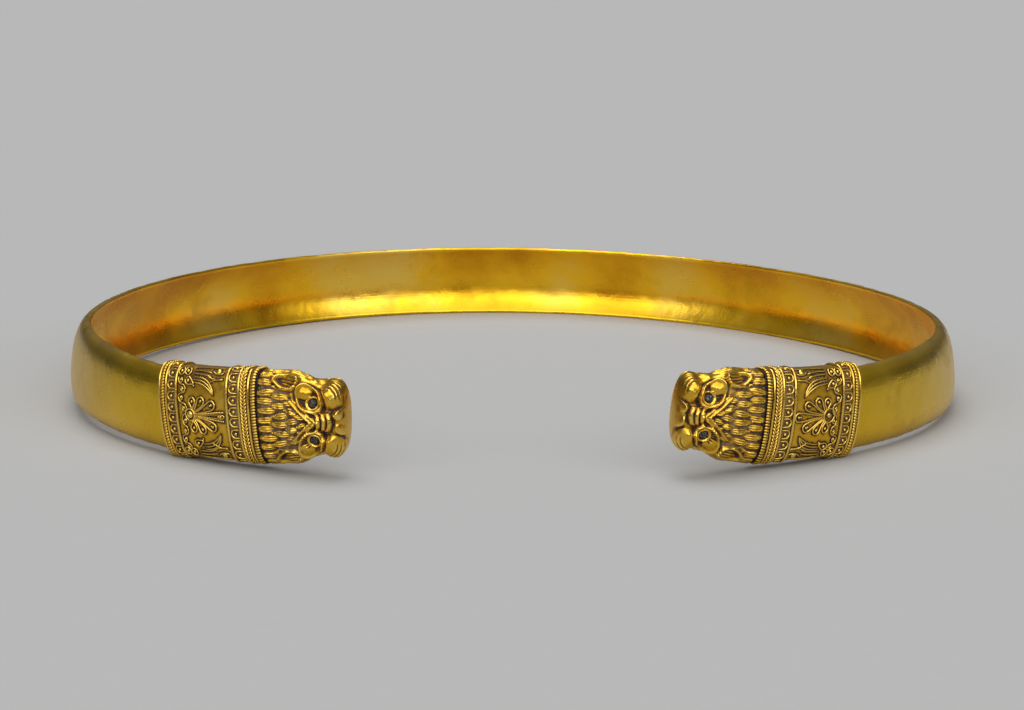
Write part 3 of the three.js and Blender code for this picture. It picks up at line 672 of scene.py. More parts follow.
class CollarPlan:
    """Where the bands of ornament start, from the sleeve's rear to its front."""

    def __init__(self, end):
        self.rear_wire = PLAIN_WIRE_WIDTH + WIRE_GAP
        wire_a = self.rear_wire + REAR_WIRE_WIDTH + WIRE_GAP
        wire_b = wire_a + PLAIN_WIRE_WIDTH + FRIEZE_WIDTH
        self.front_wire = end.collar_length - FRONT_WIRE_WIDTH - WIRE_GAP
        wire_e = self.front_wire - PLAIN_WIRE_WIDTH - WIRE_GAP
        self.plait = wire_e - PLAIT_WIDTH - WIRE_GAP
        wire_d = self.plait - PLAIN_WIRE_WIDTH - WIRE_GAP
        wire_c = wire_d - FRIEZE_WIDTH - PLAIN_WIRE_WIDTH
        self.panel = wire_b + PLAIN_WIRE_WIDTH
        self.friezes = [wire_a + PLAIN_WIRE_WIDTH, wire_c + PLAIN_WIRE_WIDTH]
        self.wires = [0, wire_a, wire_b, wire_c, wire_d, wire_e]


def round_the_sleeve(count):
    return -SLEEVE.half + 2 * SLEEVE.half * np.arange(count) / count


def bezier(a, b, c, steps=14):
    t = np.linspace(0, 1, steps)[:, None]
    a, b, c = (np.array(p, float) for p in (a, b, c))
    return (1 - t) ** 2 * a + 2 * t * (1 - t) * b + t * t * c


PALMETTE_REACH = 6.8
PALMETTE_DROP = -0.1
ROSETTE_AHEAD = 2.5
ROSETTES = {"left": (0.92, 0.6), "right": (1.1, 0.42)}
PETALS = [(0, 1.0), (25, 0.8), (-25, 0.8), (52, 0.58), (-52, 0.58), (92, 0.42), (-92, 0.42)]
PETAL_ROOT = 0.9
PETAL_ROOT_HALF = 0.12
PETAL_ROOT_TURN = 0.55
PETAL_FURTHER_TURN = 0.6975
PETAL_TIP_WIDTH = 1.4
SMALL_PETAL_NARROWING = 0.25
PETAL_BEADS = 19
BEADS_ROOT_HALF = 0.2
BEADS_REACH = 0.97 * PALMETTE_REACH
INNER_OUTLINE_SHARE = 0.45
SECOND_GRAIN_SHARE = 0.93


def petal_line(length, tip_width, direction):
    """Outline of one petal from its root round its tip and back, and the middle of its tip."""
    tip = tip_width / 2
    straight = length - tip
    run = np.linspace(PETAL_ROOT, straight, 12)
    half = PETAL_ROOT_HALF + (tip - PETAL_ROOT_HALF) * smooth(run, PETAL_ROOT, straight) ** 1.2
    round_tip = np.linspace(-math.pi / 2, math.pi / 2, 9)[1:-1]
    x = np.concatenate([run, straight + tip * np.cos(round_tip), run[::-1], [straight]])
    y = np.concatenate([-half, tip * np.sin(round_tip), half[::-1], [0]])

    def way(at):
        return direction * (PETAL_ROOT_TURN + PETAL_FURTHER_TURN * at / length)

    fine = np.linspace(0, length, 60)
    steps = np.stack([np.cos(way(fine[:-1])), np.sin(way(fine[:-1]))]) * np.diff(fine)
    axis_s, axis_w = np.pad(np.cumsum(steps, 1), ((0, 0), (1, 0)))
    s = np.interp(x, fine, axis_s) - y * np.sin(way(x))
    w = np.interp(x, fine, axis_w) + y * np.cos(way(x))
    return s[:-1], w[:-1], s[-1], w[-1]


def lay_palmette(work, plan):
    at_s = plan.panel + ROSETTE_AHEAD
    at_w = PALMETTE_DROP
    for degrees, share in PETALS:
        tip_width = PETAL_TIP_WIDTH - SMALL_PETAL_NARROWING * (1 - share)
        s, w, tip_s, tip_w = petal_line(PALMETTE_REACH * share, tip_width, math.radians(degrees))
        if degrees == 0 and work.end is LEFT:
            runs = np.linspace(0.16, 1.0, PETAL_BEADS) * BEADS_REACH
            widening = smooth(runs, PETAL_ROOT, PALMETTE_REACH) ** 1.1
            halves = lerp(BEADS_ROOT_HALF, tip_width / 2, widening)
            for side in (-1, 1):
                for run, half in zip(runs, halves):
                    work.grain(at_s + run, at_w + side * half, 0.17, rings=4, sides=7)
            work.wire(at_s + s, at_w + INNER_OUTLINE_SHARE * w, radius=0.1)
        else:
            work.wire(at_s + s, at_w + w)
        work.grain(at_s + tip_s, at_w + tip_w, 0.24)
        work.grain(at_s + SECOND_GRAIN_SHARE * tip_s, at_w + SECOND_GRAIN_SHARE * tip_w, 0.17)
    ring, boss = ROSETTES[work.end.name]
    work.ring(at_s, at_w, ring)
    work.grain(at_s, at_w, boss, flat=0.55, rings=8, sides=16)


# Places on the panel: the first number runs forward from the panel's rear edge, the second is w
SCROLL_RINGS = [
    (0.75, 5.25), (1.2, 3.85), (0.75, 2.5), (1.3, 0.85),
    (1.3, -1.05), (1.2, -2.75), (0.8, -4.05), (1.2, -5.4),
]
SEPALS = {
    "left": (((3.2, 5.4), (7.4, 3.2)), ((4.4, -5.0), (8.3, -2.9))),
    "right": (((3.0, 5.3), (7.7, 3.0)), ((3.5, -5.0), (8.0, -3.2))),
}
TEARDROPS = {"left": ((2.3, 5.2), (3.4, -4.6)), "right": ((2.0, 4.8), (2.6, -5.1))}
EDGE_LINES = [
    ((3.4, 6.35), (5.0, 6.5), (6.9, 6.0)),
    ((3.3, 6.85), (5.0, 7.1), (7.0, 6.6)),
    ((3.3, 7.4), (5.2, 7.7), (9.2, 7.5)),
    ((6.0, 6.2), (7.6, 5.3), (9.2, 5.8)),
    ((6.2, 4.7), (7.5, 5.9), (9.2, 5.6)),
    ((6.9, 7.1), (7.9, 6.1), (9.2, 6.7)),
]
EDGE_RINGS = [(0.65, 6.65), (2.0, 6.7)]
LEAF_BOSS = (8.1, 6.95)
LOWER_EDGE_SHIFT = 0.55
# Radii of the wires, of the rings laid with them and of their grains
SCROLL_WIRE = 0.115
SCROLL_RADII = (0.24, 0.58)
SCROLL_GRAIN = 0.22
SCROLL_SWING = 0.5
LEAF_WIRE = 0.13
RING_WIRE = 0.14
EDGE_RING_RADIUS = 0.62
EDGE_GRAIN = 0.27
TEARDROP_RADIUS = 0.6
TEARDROP_GRAIN = 0.28
TEARDROP_TAIL = (1.15, 0.75)

# Each wire of a sickle leaf: how far out its root lies, and how far along it bends
SICKLE_WIRES = [(0.5, 0.95), (0.05, 0.8), (-0.4, 0.62)]


def lay_scrolls(work, plan):
    """The chain of scrolls behind the palmette: wound rings, each with a grain, joined by S-lines."""
    turn = np.linspace(0.0, 1.75 * math.pi, 22)
    radius = np.linspace(*SCROLL_RADII, 22)
    places = [(plan.panel + ahead, w) for ahead, w in SCROLL_RINGS]
    for k, (s, w) in enumerate(places):
        side = 1 if k % 2 else -1
        angle = side * turn + math.pi / 2
        work.wire(s + radius * np.cos(angle), w + radius * np.sin(angle), SCROLL_WIRE)
        work.grain(s, w, SCROLL_GRAIN, rings=5, sides=8)
        if k + 1 < len(places):
            next_s, next_w = places[k + 1]
            middle = ((s + next_s) / 2, (w + next_w) / 2)
            out_s, back_s = s + SCROLL_SWING * side, next_s - SCROLL_SWING * side
            first = bezier((out_s, w - 0.1), (out_s, middle[1] + 0.1), middle, 7)
            second = bezier(middle, (back_s, middle[1] - 0.1), (back_s, next_w + 0.1), 7)
            work.line(np.concatenate([first, second[1:]]), SCROLL_WIRE)


def lay_leaf_lines(work, plan):
    """Sickle leaves, teardrops and the pointed leaves by the panel's long edges."""
    start = plan.panel
    for (root_s, root_w), (tip_s, tip_w) in SEPALS[work.end.name]:
        side = math.copysign(1, root_w)
        for out, bend in SICKLE_WIRES:
            over = root_w + side * out
            bent = (start + lerp(root_s, tip_s, bend), over + side * 0.1)
            work.line(bezier((start + root_s, over), bent, (start + tip_s, tip_w)), LEAF_WIRE)
    turn = full_turn(24)
    tail = 0.5 * np.maximum(0, np.cos(turn)) ** 3
    for ahead, w in TEARDROPS[work.end.name]:
        side = math.copysign(1, w)
        drop_s = start + ahead + (TEARDROP_RADIUS + tail) * np.cos(turn)
        drop_w = w + TEARDROP_RADIUS * np.sin(turn) - side * 0.8 * tail
        work.wire(drop_s, drop_w, RING_WIRE, closed=True)
        work.grain(start + ahead, w, TEARDROP_GRAIN)
        tail_s, tail_w = TEARDROP_TAIL
        work.grain(start + ahead + tail_s, w - side * tail_w, 0.17, rings=5, sides=8)
    for flip, inward in ((1, 0), (-1, LOWER_EDGE_SHIFT)):
        for corners in EDGE_LINES:
            work.line(bezier(*[(start + s, flip * (w - inward)) for s, w in corners]), LEAF_WIRE)
        for s, w in EDGE_RINGS:
            work.ring(start + s, flip * (w - inward), EDGE_RING_RADIUS, RING_WIRE)
            work.grain(start + s, flip * (w - inward), EDGE_GRAIN)
        boss_s, boss_w = LEAF_BOSS
        work.grain(start + boss_s, flip * (boss_w - inward), 0.5, flat=0.5, rings=8, sides=14)


TONGUE_HALF_SHARE = 0.375
TONGUE_WIRE = 0.155
TONGUE_GRAIN = 0.27
TONGUE_REAR = 0.16
TONGUE_LEGS = (1.68, 1.3)


def lay_frieze(work, start):
    """A row of tongues, each a loop of wire with its round end to the rear and a grain in it."""
    count = int(round(2 * SLEEVE.half / TONGUE_PITCH))
    pitch = 2 * SLEEVE.half / count
    radius = TONGUE_HALF_SHARE * pitch
    bow = np.linspace(math.pi / 2, 3 * math.pi / 2, 11)
    legs = [start + leg for leg in TONGUE_LEGS]
    w = np.concatenate([[radius, radius], radius * np.sin(bow), [-radius, -radius]])
    for k in range(count):
        middle = -SLEEVE.half + pitch * (k + 0.5 + 0.06 * (scatter(k + 3) - 0.5))
        round_s = start + TONGUE_REAR + radius + 0.08 * (scatter(k) - 0.5)
        s = np.concatenate([legs, round_s + radius * np.cos(bow), legs[::-1]])
        work.wire(s, middle + w, TONGUE_WIRE, sides=6)
        work.grain(round_s + 0.15, middle, TONGUE_GRAIN, rings=5, sides=8)


# Soil all over the sleeve, and painted shadow round its wires: how much, how far from them and how widely
# spread
SLEEVE_SOIL = 0.14
WIRE_SHADOWS = [(0.8, 0.12, 0.11), (0.18, 0.2, 0.3)]


def soil_and_shadow_round_wires(work, s, w):
    """How soiled the sleeve is, with painted shadow dark beside the wires and in the friezes."""
    places = np.concatenate([block[::3] for block in work.vertices])
    tree = kdtree.KDTree(len(places))
    for k, point in enumerate(places):
        tree.insert(point, k)
    tree.balance()
    points = sleeve_place(work.end, s, w, 0.0).reshape(-1, 3)
    near = np.array([tree.find(point)[2] for point in points]).reshape(np.shape(s))
    return SLEEVE_SOIL + sum(much * ridge(near - far, spread) for much, far, spread in WIRE_SHADOWS)


SLEEVE_DENTS = [(0.03, 0.9, 0.35, 41), (0.02, -1.0, 1.3, 47)]
PLAIN_WIRE_RADIUS = 0.24
PLAIN_WIRE_LIFT = 0.35
# Painted shade darkens the sleeve's inner wall, and soil with painted shade darkens the friezes.
INSIDE_SHADE = 0.9
FRIEZE_SOIL_AND_SHADE = 0.5
FRIEZE_DUST = 0.55


def make_collar(end, material):
    plan = CollarPlan(end)
    work = Ornament(end)
    around = round_the_sleeve(180)
    for start in plan.wires:
        s = np.full(len(around), start + PLAIN_WIRE_WIDTH / 2)
        work.wire(s, around, PLAIN_WIRE_RADIUS, closed=True, lift=PLAIN_WIRE_LIFT, sides=8)
    for start in plan.friezes:
        lay_frieze(work, start)
    lay_palmette(work, plan)
    lay_scrolls(work, plan)
    lay_leaf_lines(work, plan)

    rows = int(end.collar_length / SLEEVE_ROW_STEP)
    face = np.linspace(LIP_ROUNDING, end.collar_length - LIP_ROUNDING, rows)
    wall = np.linspace(end.collar_length, 0, WALL_ROWS)
    s = np.concatenate([[0], face, [end.collar_length], wall])
    on_face = np.zeros(len(s))
    on_face[1:rows + 1] = 1
    height = LIP_ROUNDING * (on_face - 1)
    height[-WALL_ROWS:] = -COLLAR_WALL
    grid_s, grid_w = np.meshgrid(s, round_the_sleeve(SLEEVE_COLUMNS), indexing="ij")
    dents = uneven(grid_s, grid_w, SLEEVE_DENTS) * on_face[:, None]
    points = sleeve_place(end, grid_s, grid_w, height[:, None] + dents)
    # Painted shade darkens the inner wall.
    soil = np.full(grid_s.shape, INSIDE_SHADE)
    dust = np.zeros(grid_s.shape)
    outside = slice(0, rows + 2)
    soil[outside] = soil_and_shadow_round_wires(work, grid_s[outside], grid_w[outside])
    # Painted shade: the front lip turns black by the gap before the head.
    soil[rows - 1:rows + 2] = 1.0
    # Soil and painted shade darken the friezes, and dust lies in them.
    for start in plan.friezes:
        in_frieze = (s > start) & (s < start + FRIEZE_WIDTH) & (on_face == 1)
        soil[in_frieze] = np.maximum(soil[in_frieze], FRIEZE_SOIL_AND_SHADE)
        dust[in_frieze] = FRIEZE_DUST
    probe = (rows // 2) * SLEEVE_COLUMNS + SLEEVE_COLUMNS // 2
    inside = end.place(end.collar_length / 2, COLLAR_CENTRE_OFFSET, 0.0)
    faces = grid_faces(len(s), SLEEVE_COLUMNS, loop_rows=True)
    work.add(points, facing_out(points, faces, inside, probe), soil, dust)
    work.make(f"{end.name}_filigree_collar", material, f"{end.name}_collar", "worked_gold")


# Each beaded wire's width, its height and how deep a notch has to be before painted shade turns it black
BEADED_WIRES = {"rear": (REAR_WIRE_WIDTH, 0.36, 0.22), "front": (FRONT_WIRE_WIDTH, 0.4, 0.1)}
BEAD_STEPS = 7
BEAD_SIDES = 10
BEAD_MIDDLE = 0.45


def make_beaded_wire(end, label, start, material):
    """A closed row of flattened beads round the sleeve, with painted shade black where they narrow."""
    width, height, shade_from = BEADED_WIRES[label]
    count = int(round(2 * SLEEVE.half / BEAD_PITCH))
    w = round_the_sleeve(count * BEAD_STEPS)
    s = np.full(len(w), start + width / 2)
    part = 2 * ((np.arange(len(w)) % BEAD_STEPS) + 0.5) / BEAD_STEPS - 1
    profile = np.sqrt(1 - (0.88 * part) ** 2)
    radius = profile * (1 - 0.08 * scatter(np.repeat(np.arange(count), BEAD_STEPS)))
    work = Ornament(end)
    middle = BEAD_MIDDLE * height
    side_radius = 0.48 * width * radius
    up_radius = 0.62 * height * radius
    work.tube(s, w, middle, side_radius, up_radius, True, BEAD_SIDES, up_step=height - middle)
    soil = work.soil[-1].reshape(-1, BEAD_SIDES)
    # Painted shade turns the notches between beads black.
    notch_shade = smooth(1 - profile, shade_from, shade_from + 0.28)[:, None]
    work.soil[-1] = np.maximum(soil, notch_shade).ravel()
    work.make(f"{end.name}_{label}_beads", material, f"{end.name}_{label}_beaded_wire", "worked_gold")


PLAIT_ROWS = [(0.26, 1), (0.74, -1)]
STRAND_RADIUS = 0.15
STRAND_SWING = 0.15
STRAND_RISE = 0.1125
STRAND_HEIGHT = 0.2
STRAND_STEPS = 12
# Painted shade on the underside of the plait's strands
STRAND_UNDERSIDE_SHADE = 0.9


def make_plait(end, material):
    """Two wires of opposite twist side by side, so that their strands make a herringbone."""
    plan = CollarPlan(end)
    turns = int(round(2 * SLEEVE.half / TWIST_PITCH))
    w = round_the_sleeve(turns * STRAND_STEPS)
    work = Ornament(end)
    for row, hand in PLAIT_ROWS:
        for start in (0, math.pi):
            phase = hand * turns * full_turn(len(w)) + start
            s = plan.plait + PLAIT_WIDTH * row + STRAND_SWING * np.cos(phase)
            height = STRAND_HEIGHT + STRAND_RISE * np.sin(phase)
            work.tube(s, w, height, STRAND_RADIUS, STRAND_RADIUS, True, underside_shade=STRAND_UNDERSIDE_SHADE)
    work.make(f"{end.name}_plaited_wires", material, f"{end.name}_plait", "worked_gold")


# Lion heads. Carving is in hundredths of the head's length: q runs from the neck over the snout,
# w or face from the middle of the face down each cheek

UNIT = HEAD_LENGTH / 100
BROW = {"q": 56.8, "w": 34, "long": 9.6, "wide": 9.8, "height": 5.4}
EYELID = {"q": 63, "w": 25.5, "turn": -50, "long": 17, "wide": 11.6}
TUFT = {"q": 45.6, "w": 9.1, "long": 8, "wide": 5, "height": 2.6}
WHISKER_PAD = {"q": 88, "w": 30.5, "long": 18.5, "wide": 17.5, "height": 6.2}
EAR = {"q": 33.7, "w": 42.8, "turn": -8, "long": 17.5, "wide": 9.8}
CHEEK_NOTCH = {"q": 74, "w": 46, "long": 10, "wide": 17, "height": -3.4}
MUZZLE_DIP = {"q": 80, "w": 15.5, "long": 11, "wide": 6.5, "height": -2.0}
NOSTRIL = {"q": 95.6, "w": 8.0, "long": 7.6, "wide": 6.4, "height": 5.4}
FOLD_PITCH = 6.2
FOLDS_START = 70.8
FOLDS_END = 89.4
BROW_APEX = 67.5
BROW_SLOPE = 1.02
CORD_SPREAD = 2.2
CORD_HEIGHT = 2.0
LID_HEIGHT = 2.8
RIM_HEIGHT = 2.3
RIM_RADIUS = 6.7
LASH_RADIUS = 10.0
LASHES = 22
NOSE_HEIGHT = 3.2
NOSE_HALVES = (9.5, 14.6)
FOLD_HEIGHT = 5.0
FOLD_HALF = 10.4
WHISKER_CENTRE = (79, 22)
WHISKER_LINES = (15.0, 18.6, 22.2, 25.8)
WHISKER_DEPTH = 1.6
MOUTH_DEPTH = 2.4

# Each row of locks: where it starts, its length, its shift round the head, and its seed
MANE_ROWS = [(-6.0, 26.0, 0.0, 100), (14.0, 24.0, 0.5, 300), (35, 17, 0.0, 500), (47, 14, 0.5, 700)]
SKIN_DENTS = [(0.5, 1 / 7, 1 / 9, 61), (0.35, -1 / 8, 1 / 5, 67)]


def dome(q, w, form):
    """1 in the middle of an oval, falling to 0 at its edge."""
    far = ((q - form["q"]) / form["long"]) ** 2 + ((w - form["w"]) / form["wide"]) ** 2
    return (1 - far).clip(0)


def raised(q, w, form):
    return form["height"] * dome(q, w, form) ** 2


def oval_axes(q, w, form):
    turn = math.radians(form["turn"])
    along = ((q - form["q"]) * math.cos(turn) + (w - form["w"]) * math.sin(turn)) / form["long"]
    across = ((w - form["w"]) * math.cos(turn) - (q - form["q"]) * math.sin(turn)) / form["wide"]
    return along, across


def mane_relief(q, locks, start, length, shift, seed):
    """One row of pointed locks of three strands; each differs a little from the next."""
    number = np.round(locks + shift)
    across = 2 * (locks + shift - number)
    begin = start + 5.5 * (scatter(number + seed) - 0.5)
    reach = length * (0.86 + 0.3 * scatter(number + seed + 5))
    part = ((q - begin) / reach).clip(0, 1)
    sway = 0.9 * (scatter(number + seed + 9) - 0.5)
    across = across - sway * (1 - part) * (1.2 - part)
    width = 0.08 + 0.76 * smooth(part, 0.0, 0.5) * (1 - 0.35 * smooth(part, 0.65, 1.0))
    a = across / width
    body = np.sqrt(np.maximum(0, 1 - a ** 2))
    strands = np.abs(np.cos(1.5 * math.pi * (a + 0.12 * (scatter(number + seed + 21) - 0.5))))
    swell = smooth(part, 0, 0.1) * (1 - smooth(part, 0.62, 1.0))
    height = (3.1 + 1.6 * scatter(number + seed + 13)) * body * (0.35 + 0.65 * strands ** 0.8)
    return np.where((np.abs(a) < 1) & (part > 0) & (part < 1), height * swell, 0.0)


def ear_relief(q, down):
    """A leaf-shaped ear open to the front, with ridges of hair in it."""
    along, across = oval_axes(q, down, EAR)
    point = across / np.maximum(0.25, 1 - 0.35 * smooth(-along, 0.0, 1.0))
    far = np.hypot(along, point)
    open_side = (1 - smooth(along, 0.7, 0.95)) * (1 - 0.6 * smooth(across, 0.3, 0.9))
    rim = 4.2 * ridge(far - 0.88, 0.22) * open_side
    bowl = -1.3 * ridge(far, 0.6)
    hairs = np.abs(np.cos(2.6 * math.pi * (across + 0.12 * along)))
    tuft = 2.6 * hairs * smooth(along, -0.45, 0.1) * (1 - smooth(along, 0.75, 1.1)) * ridge(across, 0.5)
    return rim + bowl + tuft


def eye_relief(q, face, above):
    """Lid round the eye, the round brow behind it, and the thick rim that holds the inlay."""
    along, across = oval_axes(q, face, EYELID)
    far = np.hypot(along, across)
    lid = LID_HEIGHT * ridge(far - 0.97, 0.1) - 1.8 * ridge(far - 1.22, 0.12)
    bowl = -1.8 * (1 - smooth(far, 0.62, 0.92))
    inlay_q = crown_arc(EYE_SHARE) / UNIT
    inlay_w = EYE_SPREAD / UNIT
    from_inlay = np.hypot((q - inlay_q) / 1.05, face - inlay_w)
    ahead = smooth(q - inlay_q, -6.5, 1.5)
    rim = RIM_HEIGHT * ridge(from_inlay - RIM_RADIUS, 1.3) * (0.45 + 0.55 * ahead)
    way = np.arctan2(face - inlay_w, q - inlay_q)
    behind = smooth(np.abs(way), 1.9, 2.3)
    lashes = (0.5 + 0.5 * np.cos(way * LASHES)) * ridge(from_inlay - LASH_RADIUS, 2.6) * behind
    ball = np.sqrt(dome(q, face, BROW))
    brow = BROW["height"] * np.where(above, 1.15, 0.6) * ball ** 1.5
    return lid + bowl + rim - np.where(above, 0.6, 1.5) * lashes + brow


def brow_relief(q, face):
    """The V of doubled cords between the eyes."""
    reach = 1 - smooth(face, 22, 27)
    off = (q - (BROW_APEX - BROW_SLOPE * face)) / math.hypot(1, BROW_SLOPE)
    cords = ridge(off - CORD_SPREAD, 1.25) + ridge(off + CORD_SPREAD, 1.25)
    hatch = 0.88 + 0.12 * np.cos(2 * math.pi * face / 2.9)
    beside = 0.3 * ridge(off - 5.6, 1.3) + ridge(off + 5.6, 1.3)
    return reach * (CORD_HEIGHT * cords * hatch + 2.4 * ridge(off, 4.4) - beside)


def nose_relief(q, face, above):
    """Three arched folds over the bridge, and the nose with a rounded nostril on each side."""
    arch = q + 0.035 * face ** 2
    inside = smooth(arch, FOLDS_START - 0.6, FOLDS_START + 0.6)
    inside = inside * (1 - smooth(arch, FOLDS_END - 0.6, FOLDS_END + 0.6))
    side = np.maximum(0, 1 - (face / FOLD_HALF) ** 2) ** 0.5
    fold = np.abs(np.sin(math.pi * (arch - FOLDS_START) / FOLD_PITCH)) ** 0.6
    half = lerp(*NOSE_HALVES, smooth(q, 90, 100))
    length = smooth(q, 89.5, 95) * (1 - smooth(q, 106, 113))
    plate = 1 - smooth(face, half - 2.2, half + 1.6)
    nostril = NOSTRIL["height"] * np.where(above, 1.0, 0.35) * dome(q, face, NOSTRIL) ** 0.9
    groove = 1.4 * ridge(face, 1.1) * smooth(q, 103, 109)
    return FOLD_HEIGHT * fold * side * inside + NOSE_HEIGHT * length * plate + nostril - groove


def pad_relief(q, face):
    """Whisker pads with curved lines round their outer and front margin."""
    pad = WHISKER_PAD["height"] * dome(q, face, WHISKER_PAD) ** 1.25
    out_q = q - WHISKER_CENTRE[0]
    out_w = face - WHISKER_CENTRE[1]
    reach = np.hypot(out_q, out_w)
    way = np.arctan2(out_w, out_q)
    lines = sum(ridge(reach - at, 0.8) for at in WHISKER_LINES)
    span = smooth(way, -0.1, 0.3) * (1 - smooth(way, 1.4, 1.8))
    return pad - WHISKER_DEPTH * lines * span


def carving(end, q, w, down):
    """Height of the carving in hundredths; w is signed and down is measured from the crown."""
    ahead = q - end.face_ahead
    face = np.abs(w - FACE_DROP / UNIT)
    above = w > FACE_DROP / UNIT
    clear = 1 - smooth(down["w"], 30, 36) * smooth(q, 17, 23)
    behind_brow = 1 - smooth(ahead + BROW_SLOPE * face, BROW_APEX - 9, BROW_APEX - 4)
    hairline = behind_brow * (1 - smooth(face, 24, 29) * smooth(ahead, 38, 44))
    shares = (1.0, clear, clear * hairline, hairline)
    ways = (q, q, ahead, ahead)
    locks = [
        share * mane_relief(way, down["locks"], *row)
        for share, way, row in zip(shares, ways, MANE_ROWS)
    ]
    height = np.max(locks, 0) * (1 - 0.65 * smooth(down["w"], 44, 54)) * (1 - smooth(down["w"], 57, 66))
    flank = smooth(down["w"], 50, 55) * (1 - smooth(down["w"], 62, 72)) * (1 - smooth(q, 52, 66))
    hair = np.abs(np.cos(math.pi * (down["w"] + 1.5 * np.sin(q / 7)) / 4.3))
    height = height + flank * 0.9 * hair + (1 - flank) * ear_relief(q, down["w"])
    height = height + eye_relief(ahead, face, above) + brow_relief(ahead, face)
    height = height + pad_relief(ahead, face) + nose_relief(ahead, face, above)
    for form in (TUFT, CHEEK_NOTCH, MUZZLE_DIP):
        height = height + raised(ahead, face, form)
    mouth = ridge(down["w"] - down["mouth"], 1.3) * smooth(q, 72, 80)
    return height - MOUTH_DEPTH * mouth + uneven(q, w, SKIN_DENTS)


def tip_closing(share):
    part = np.clip((share - TIP_START) / (1 - TIP_START), 0, 1)
    return (1 - part ** TIP_POWER) ** (1 / TIP_POWER)


def crown_rise(share):
    return HEAD_CROWN + FOREHEAD_RISE * ridge(share - FOREHEAD_SHARE, FOREHEAD_SPREAD)


def head_section(share):
    close = max(float(tip_closing(share)), 1e-3)
    half = lerp(HEAD_HALF_HEIGHT, MUZZLE_HALF_HEIGHT, float(smooth(share, MUZZLE_FROM, MUZZLE_TO)))
    return Section(half * close, crown_rise(share) * close, JAW_DEPTH * close, HEAD_POWER, HEAD_POWER)


CROWN_SHARES = np.linspace(0, 1, 601)
CROWN_ARCS = run_lengths(CROWN_SHARES * HEAD_LENGTH, crown_rise(CROWN_SHARES) * tip_closing(CROWN_SHARES))


def crown_arc(share):
    """How far a share of the head's length lies from the neck, over the crown."""
    return np.interp(share, CROWN_SHARES, CROWN_ARCS)


def head_place(end, share, w, height):
    """A point of the head's skin at one share of its length."""
    o, z = head_section(share).at(w, height)
    return end.place(end.head_start + share * HEAD_LENGTH, HEAD_CENTRE_OFFSET + o, z)


def head_shares():
    tip_turn = np.linspace(0, math.pi / 2, TIP_ROWS + 1)[1:]
    tip = TIP_START + (1 - TIP_START) * np.sin(tip_turn * 0.995) ** (2 / TIP_POWER)
    return np.concatenate([np.linspace(0, TIP_START, HEAD_ROWS), tip])


def column_shares():
    """Shares of the half perimeter, closer together on the face than on the jaw."""
    face = np.linspace(-FACE_PART, FACE_PART, FACE_COLUMNS)
    jaw = np.linspace(FACE_PART, 2 - FACE_PART, JAW_COLUMNS + 2)[1:-1]
    return np.concatenate([face, np.where(jaw > 1, jaw - 2, jaw)])


def hollowness(values, reach):
    """How far a grid lies below its own average, taken twice over a reach of rows and columns."""
    width = 2 * reach + 1
    smoothed = values
    for _ in range(2):
        total = sum(np.roll(smoothed, k, 1) for k in range(-reach, reach + 1))
        padded = np.pad(total / width, ((reach + 1, reach), (0, 0)), mode="edge")
        padded[0] = 0
        sums = np.cumsum(padded, 0)
        smoothed = (sums[width:] - sums[:-width]) / width
    return smoothed - values


def head_relief(end, shares, columns):
    """Heights in millimetres over the whole grid, and the arc lengths of its columns."""
    heights = []
    arcs = []
    for share in shares:
        section = head_section(share)
        w = columns * section.half
        down = {
            "w": np.abs(w) / UNIT,
            "mouth": (section.quarter + 0.35) / UNIT,
            "locks": w * LOCKS_AROUND / (2 * section.half),
        }
        q = np.full(len(w), crown_arc(share) / UNIT)
        fade = smooth(1 - share, 0.0, 0.05) * smooth(share, -0.004, 0.012)
        heights.append(carving(end, q, w / UNIT, down) * UNIT * fade)
        arcs.append(w)
    return np.array(heights), np.array(arcs)


SOCKET_DEPTH = 0.55
FINE_REACH = 3
WIDE_REACH = 9
HEAD_SOIL = 0.12
# Painted highlight, partly wear, on what stands proud; soil with painted shade in fine and wide hollows
WEAR_AND_SHEEN_LIFT = 0.1
FINE_SOIL_AND_SHADE = 0.62
WIDE_SOIL_AND_SHADE = 0.4
MANE_DUST = 0.85
NECK_INSET = COLLAR_WALL + 0.3


def sink_sockets(end, shares, arcs, heights):
    """Cuts the two round sockets that hold the eye inlays."""
    ahead = crown_arc(shares)[:, None] - crown_arc(end.eye_share)
    for flip in (-1, 1):
        far = np.hypot(ahead, arcs - FACE_DROP - flip * EYE_SPREAD)
        heights = heights - SOCKET_DEPTH * (1 - smooth(far, EYE_RADIUS - 0.1, EYE_RADIUS + 0.08))
    return heights


def head_dirt_and_shade(shares, arcs, heights):
    """Soil with painted shade in every hollow, painted shade round the neck, a pale painted highlight,
    partly wear, on what stands proud, and dust between the locks of the mane.
    """
    hollow = hollowness(heights, FINE_REACH)
    wide_hollow = hollowness(heights, WIDE_REACH)
    q = crown_arc(shares)[:, None] / UNIT
    down = np.abs(arcs) / UNIT
    # Less soil on what stands proud gives a painted highlight, partly wear; the hollows get soil and
    # painted shade.
    soil = HEAD_SOIL - WEAR_AND_SHEEN_LIFT * smooth(-hollow, 0.01, 0.07)
    soil = soil + FINE_SOIL_AND_SHADE * smooth(hollow, 0.015, 0.085) + WIDE_SOIL_AND_SHADE * smooth(wide_hollow, 0.04, 0.22)
    # Painted shade: black round the neck.
    soil = np.maximum(soil, 1 - smooth(q, 1.2, 3.6))
    mane = smooth(q, 3, 6) * (1 - smooth(q, 40, 58)) * (1 - smooth(down, 33, 38) * smooth(q, 14, 18))
    mane = mane * (1 - smooth(down, 48, 62))
    dust = MANE_DUST * mane * smooth(wide_hollow, 0.01, 0.14) * smooth(hollow, -0.02, 0.05)
    return soil.clip(0, 1), dust.clip(0, 1)


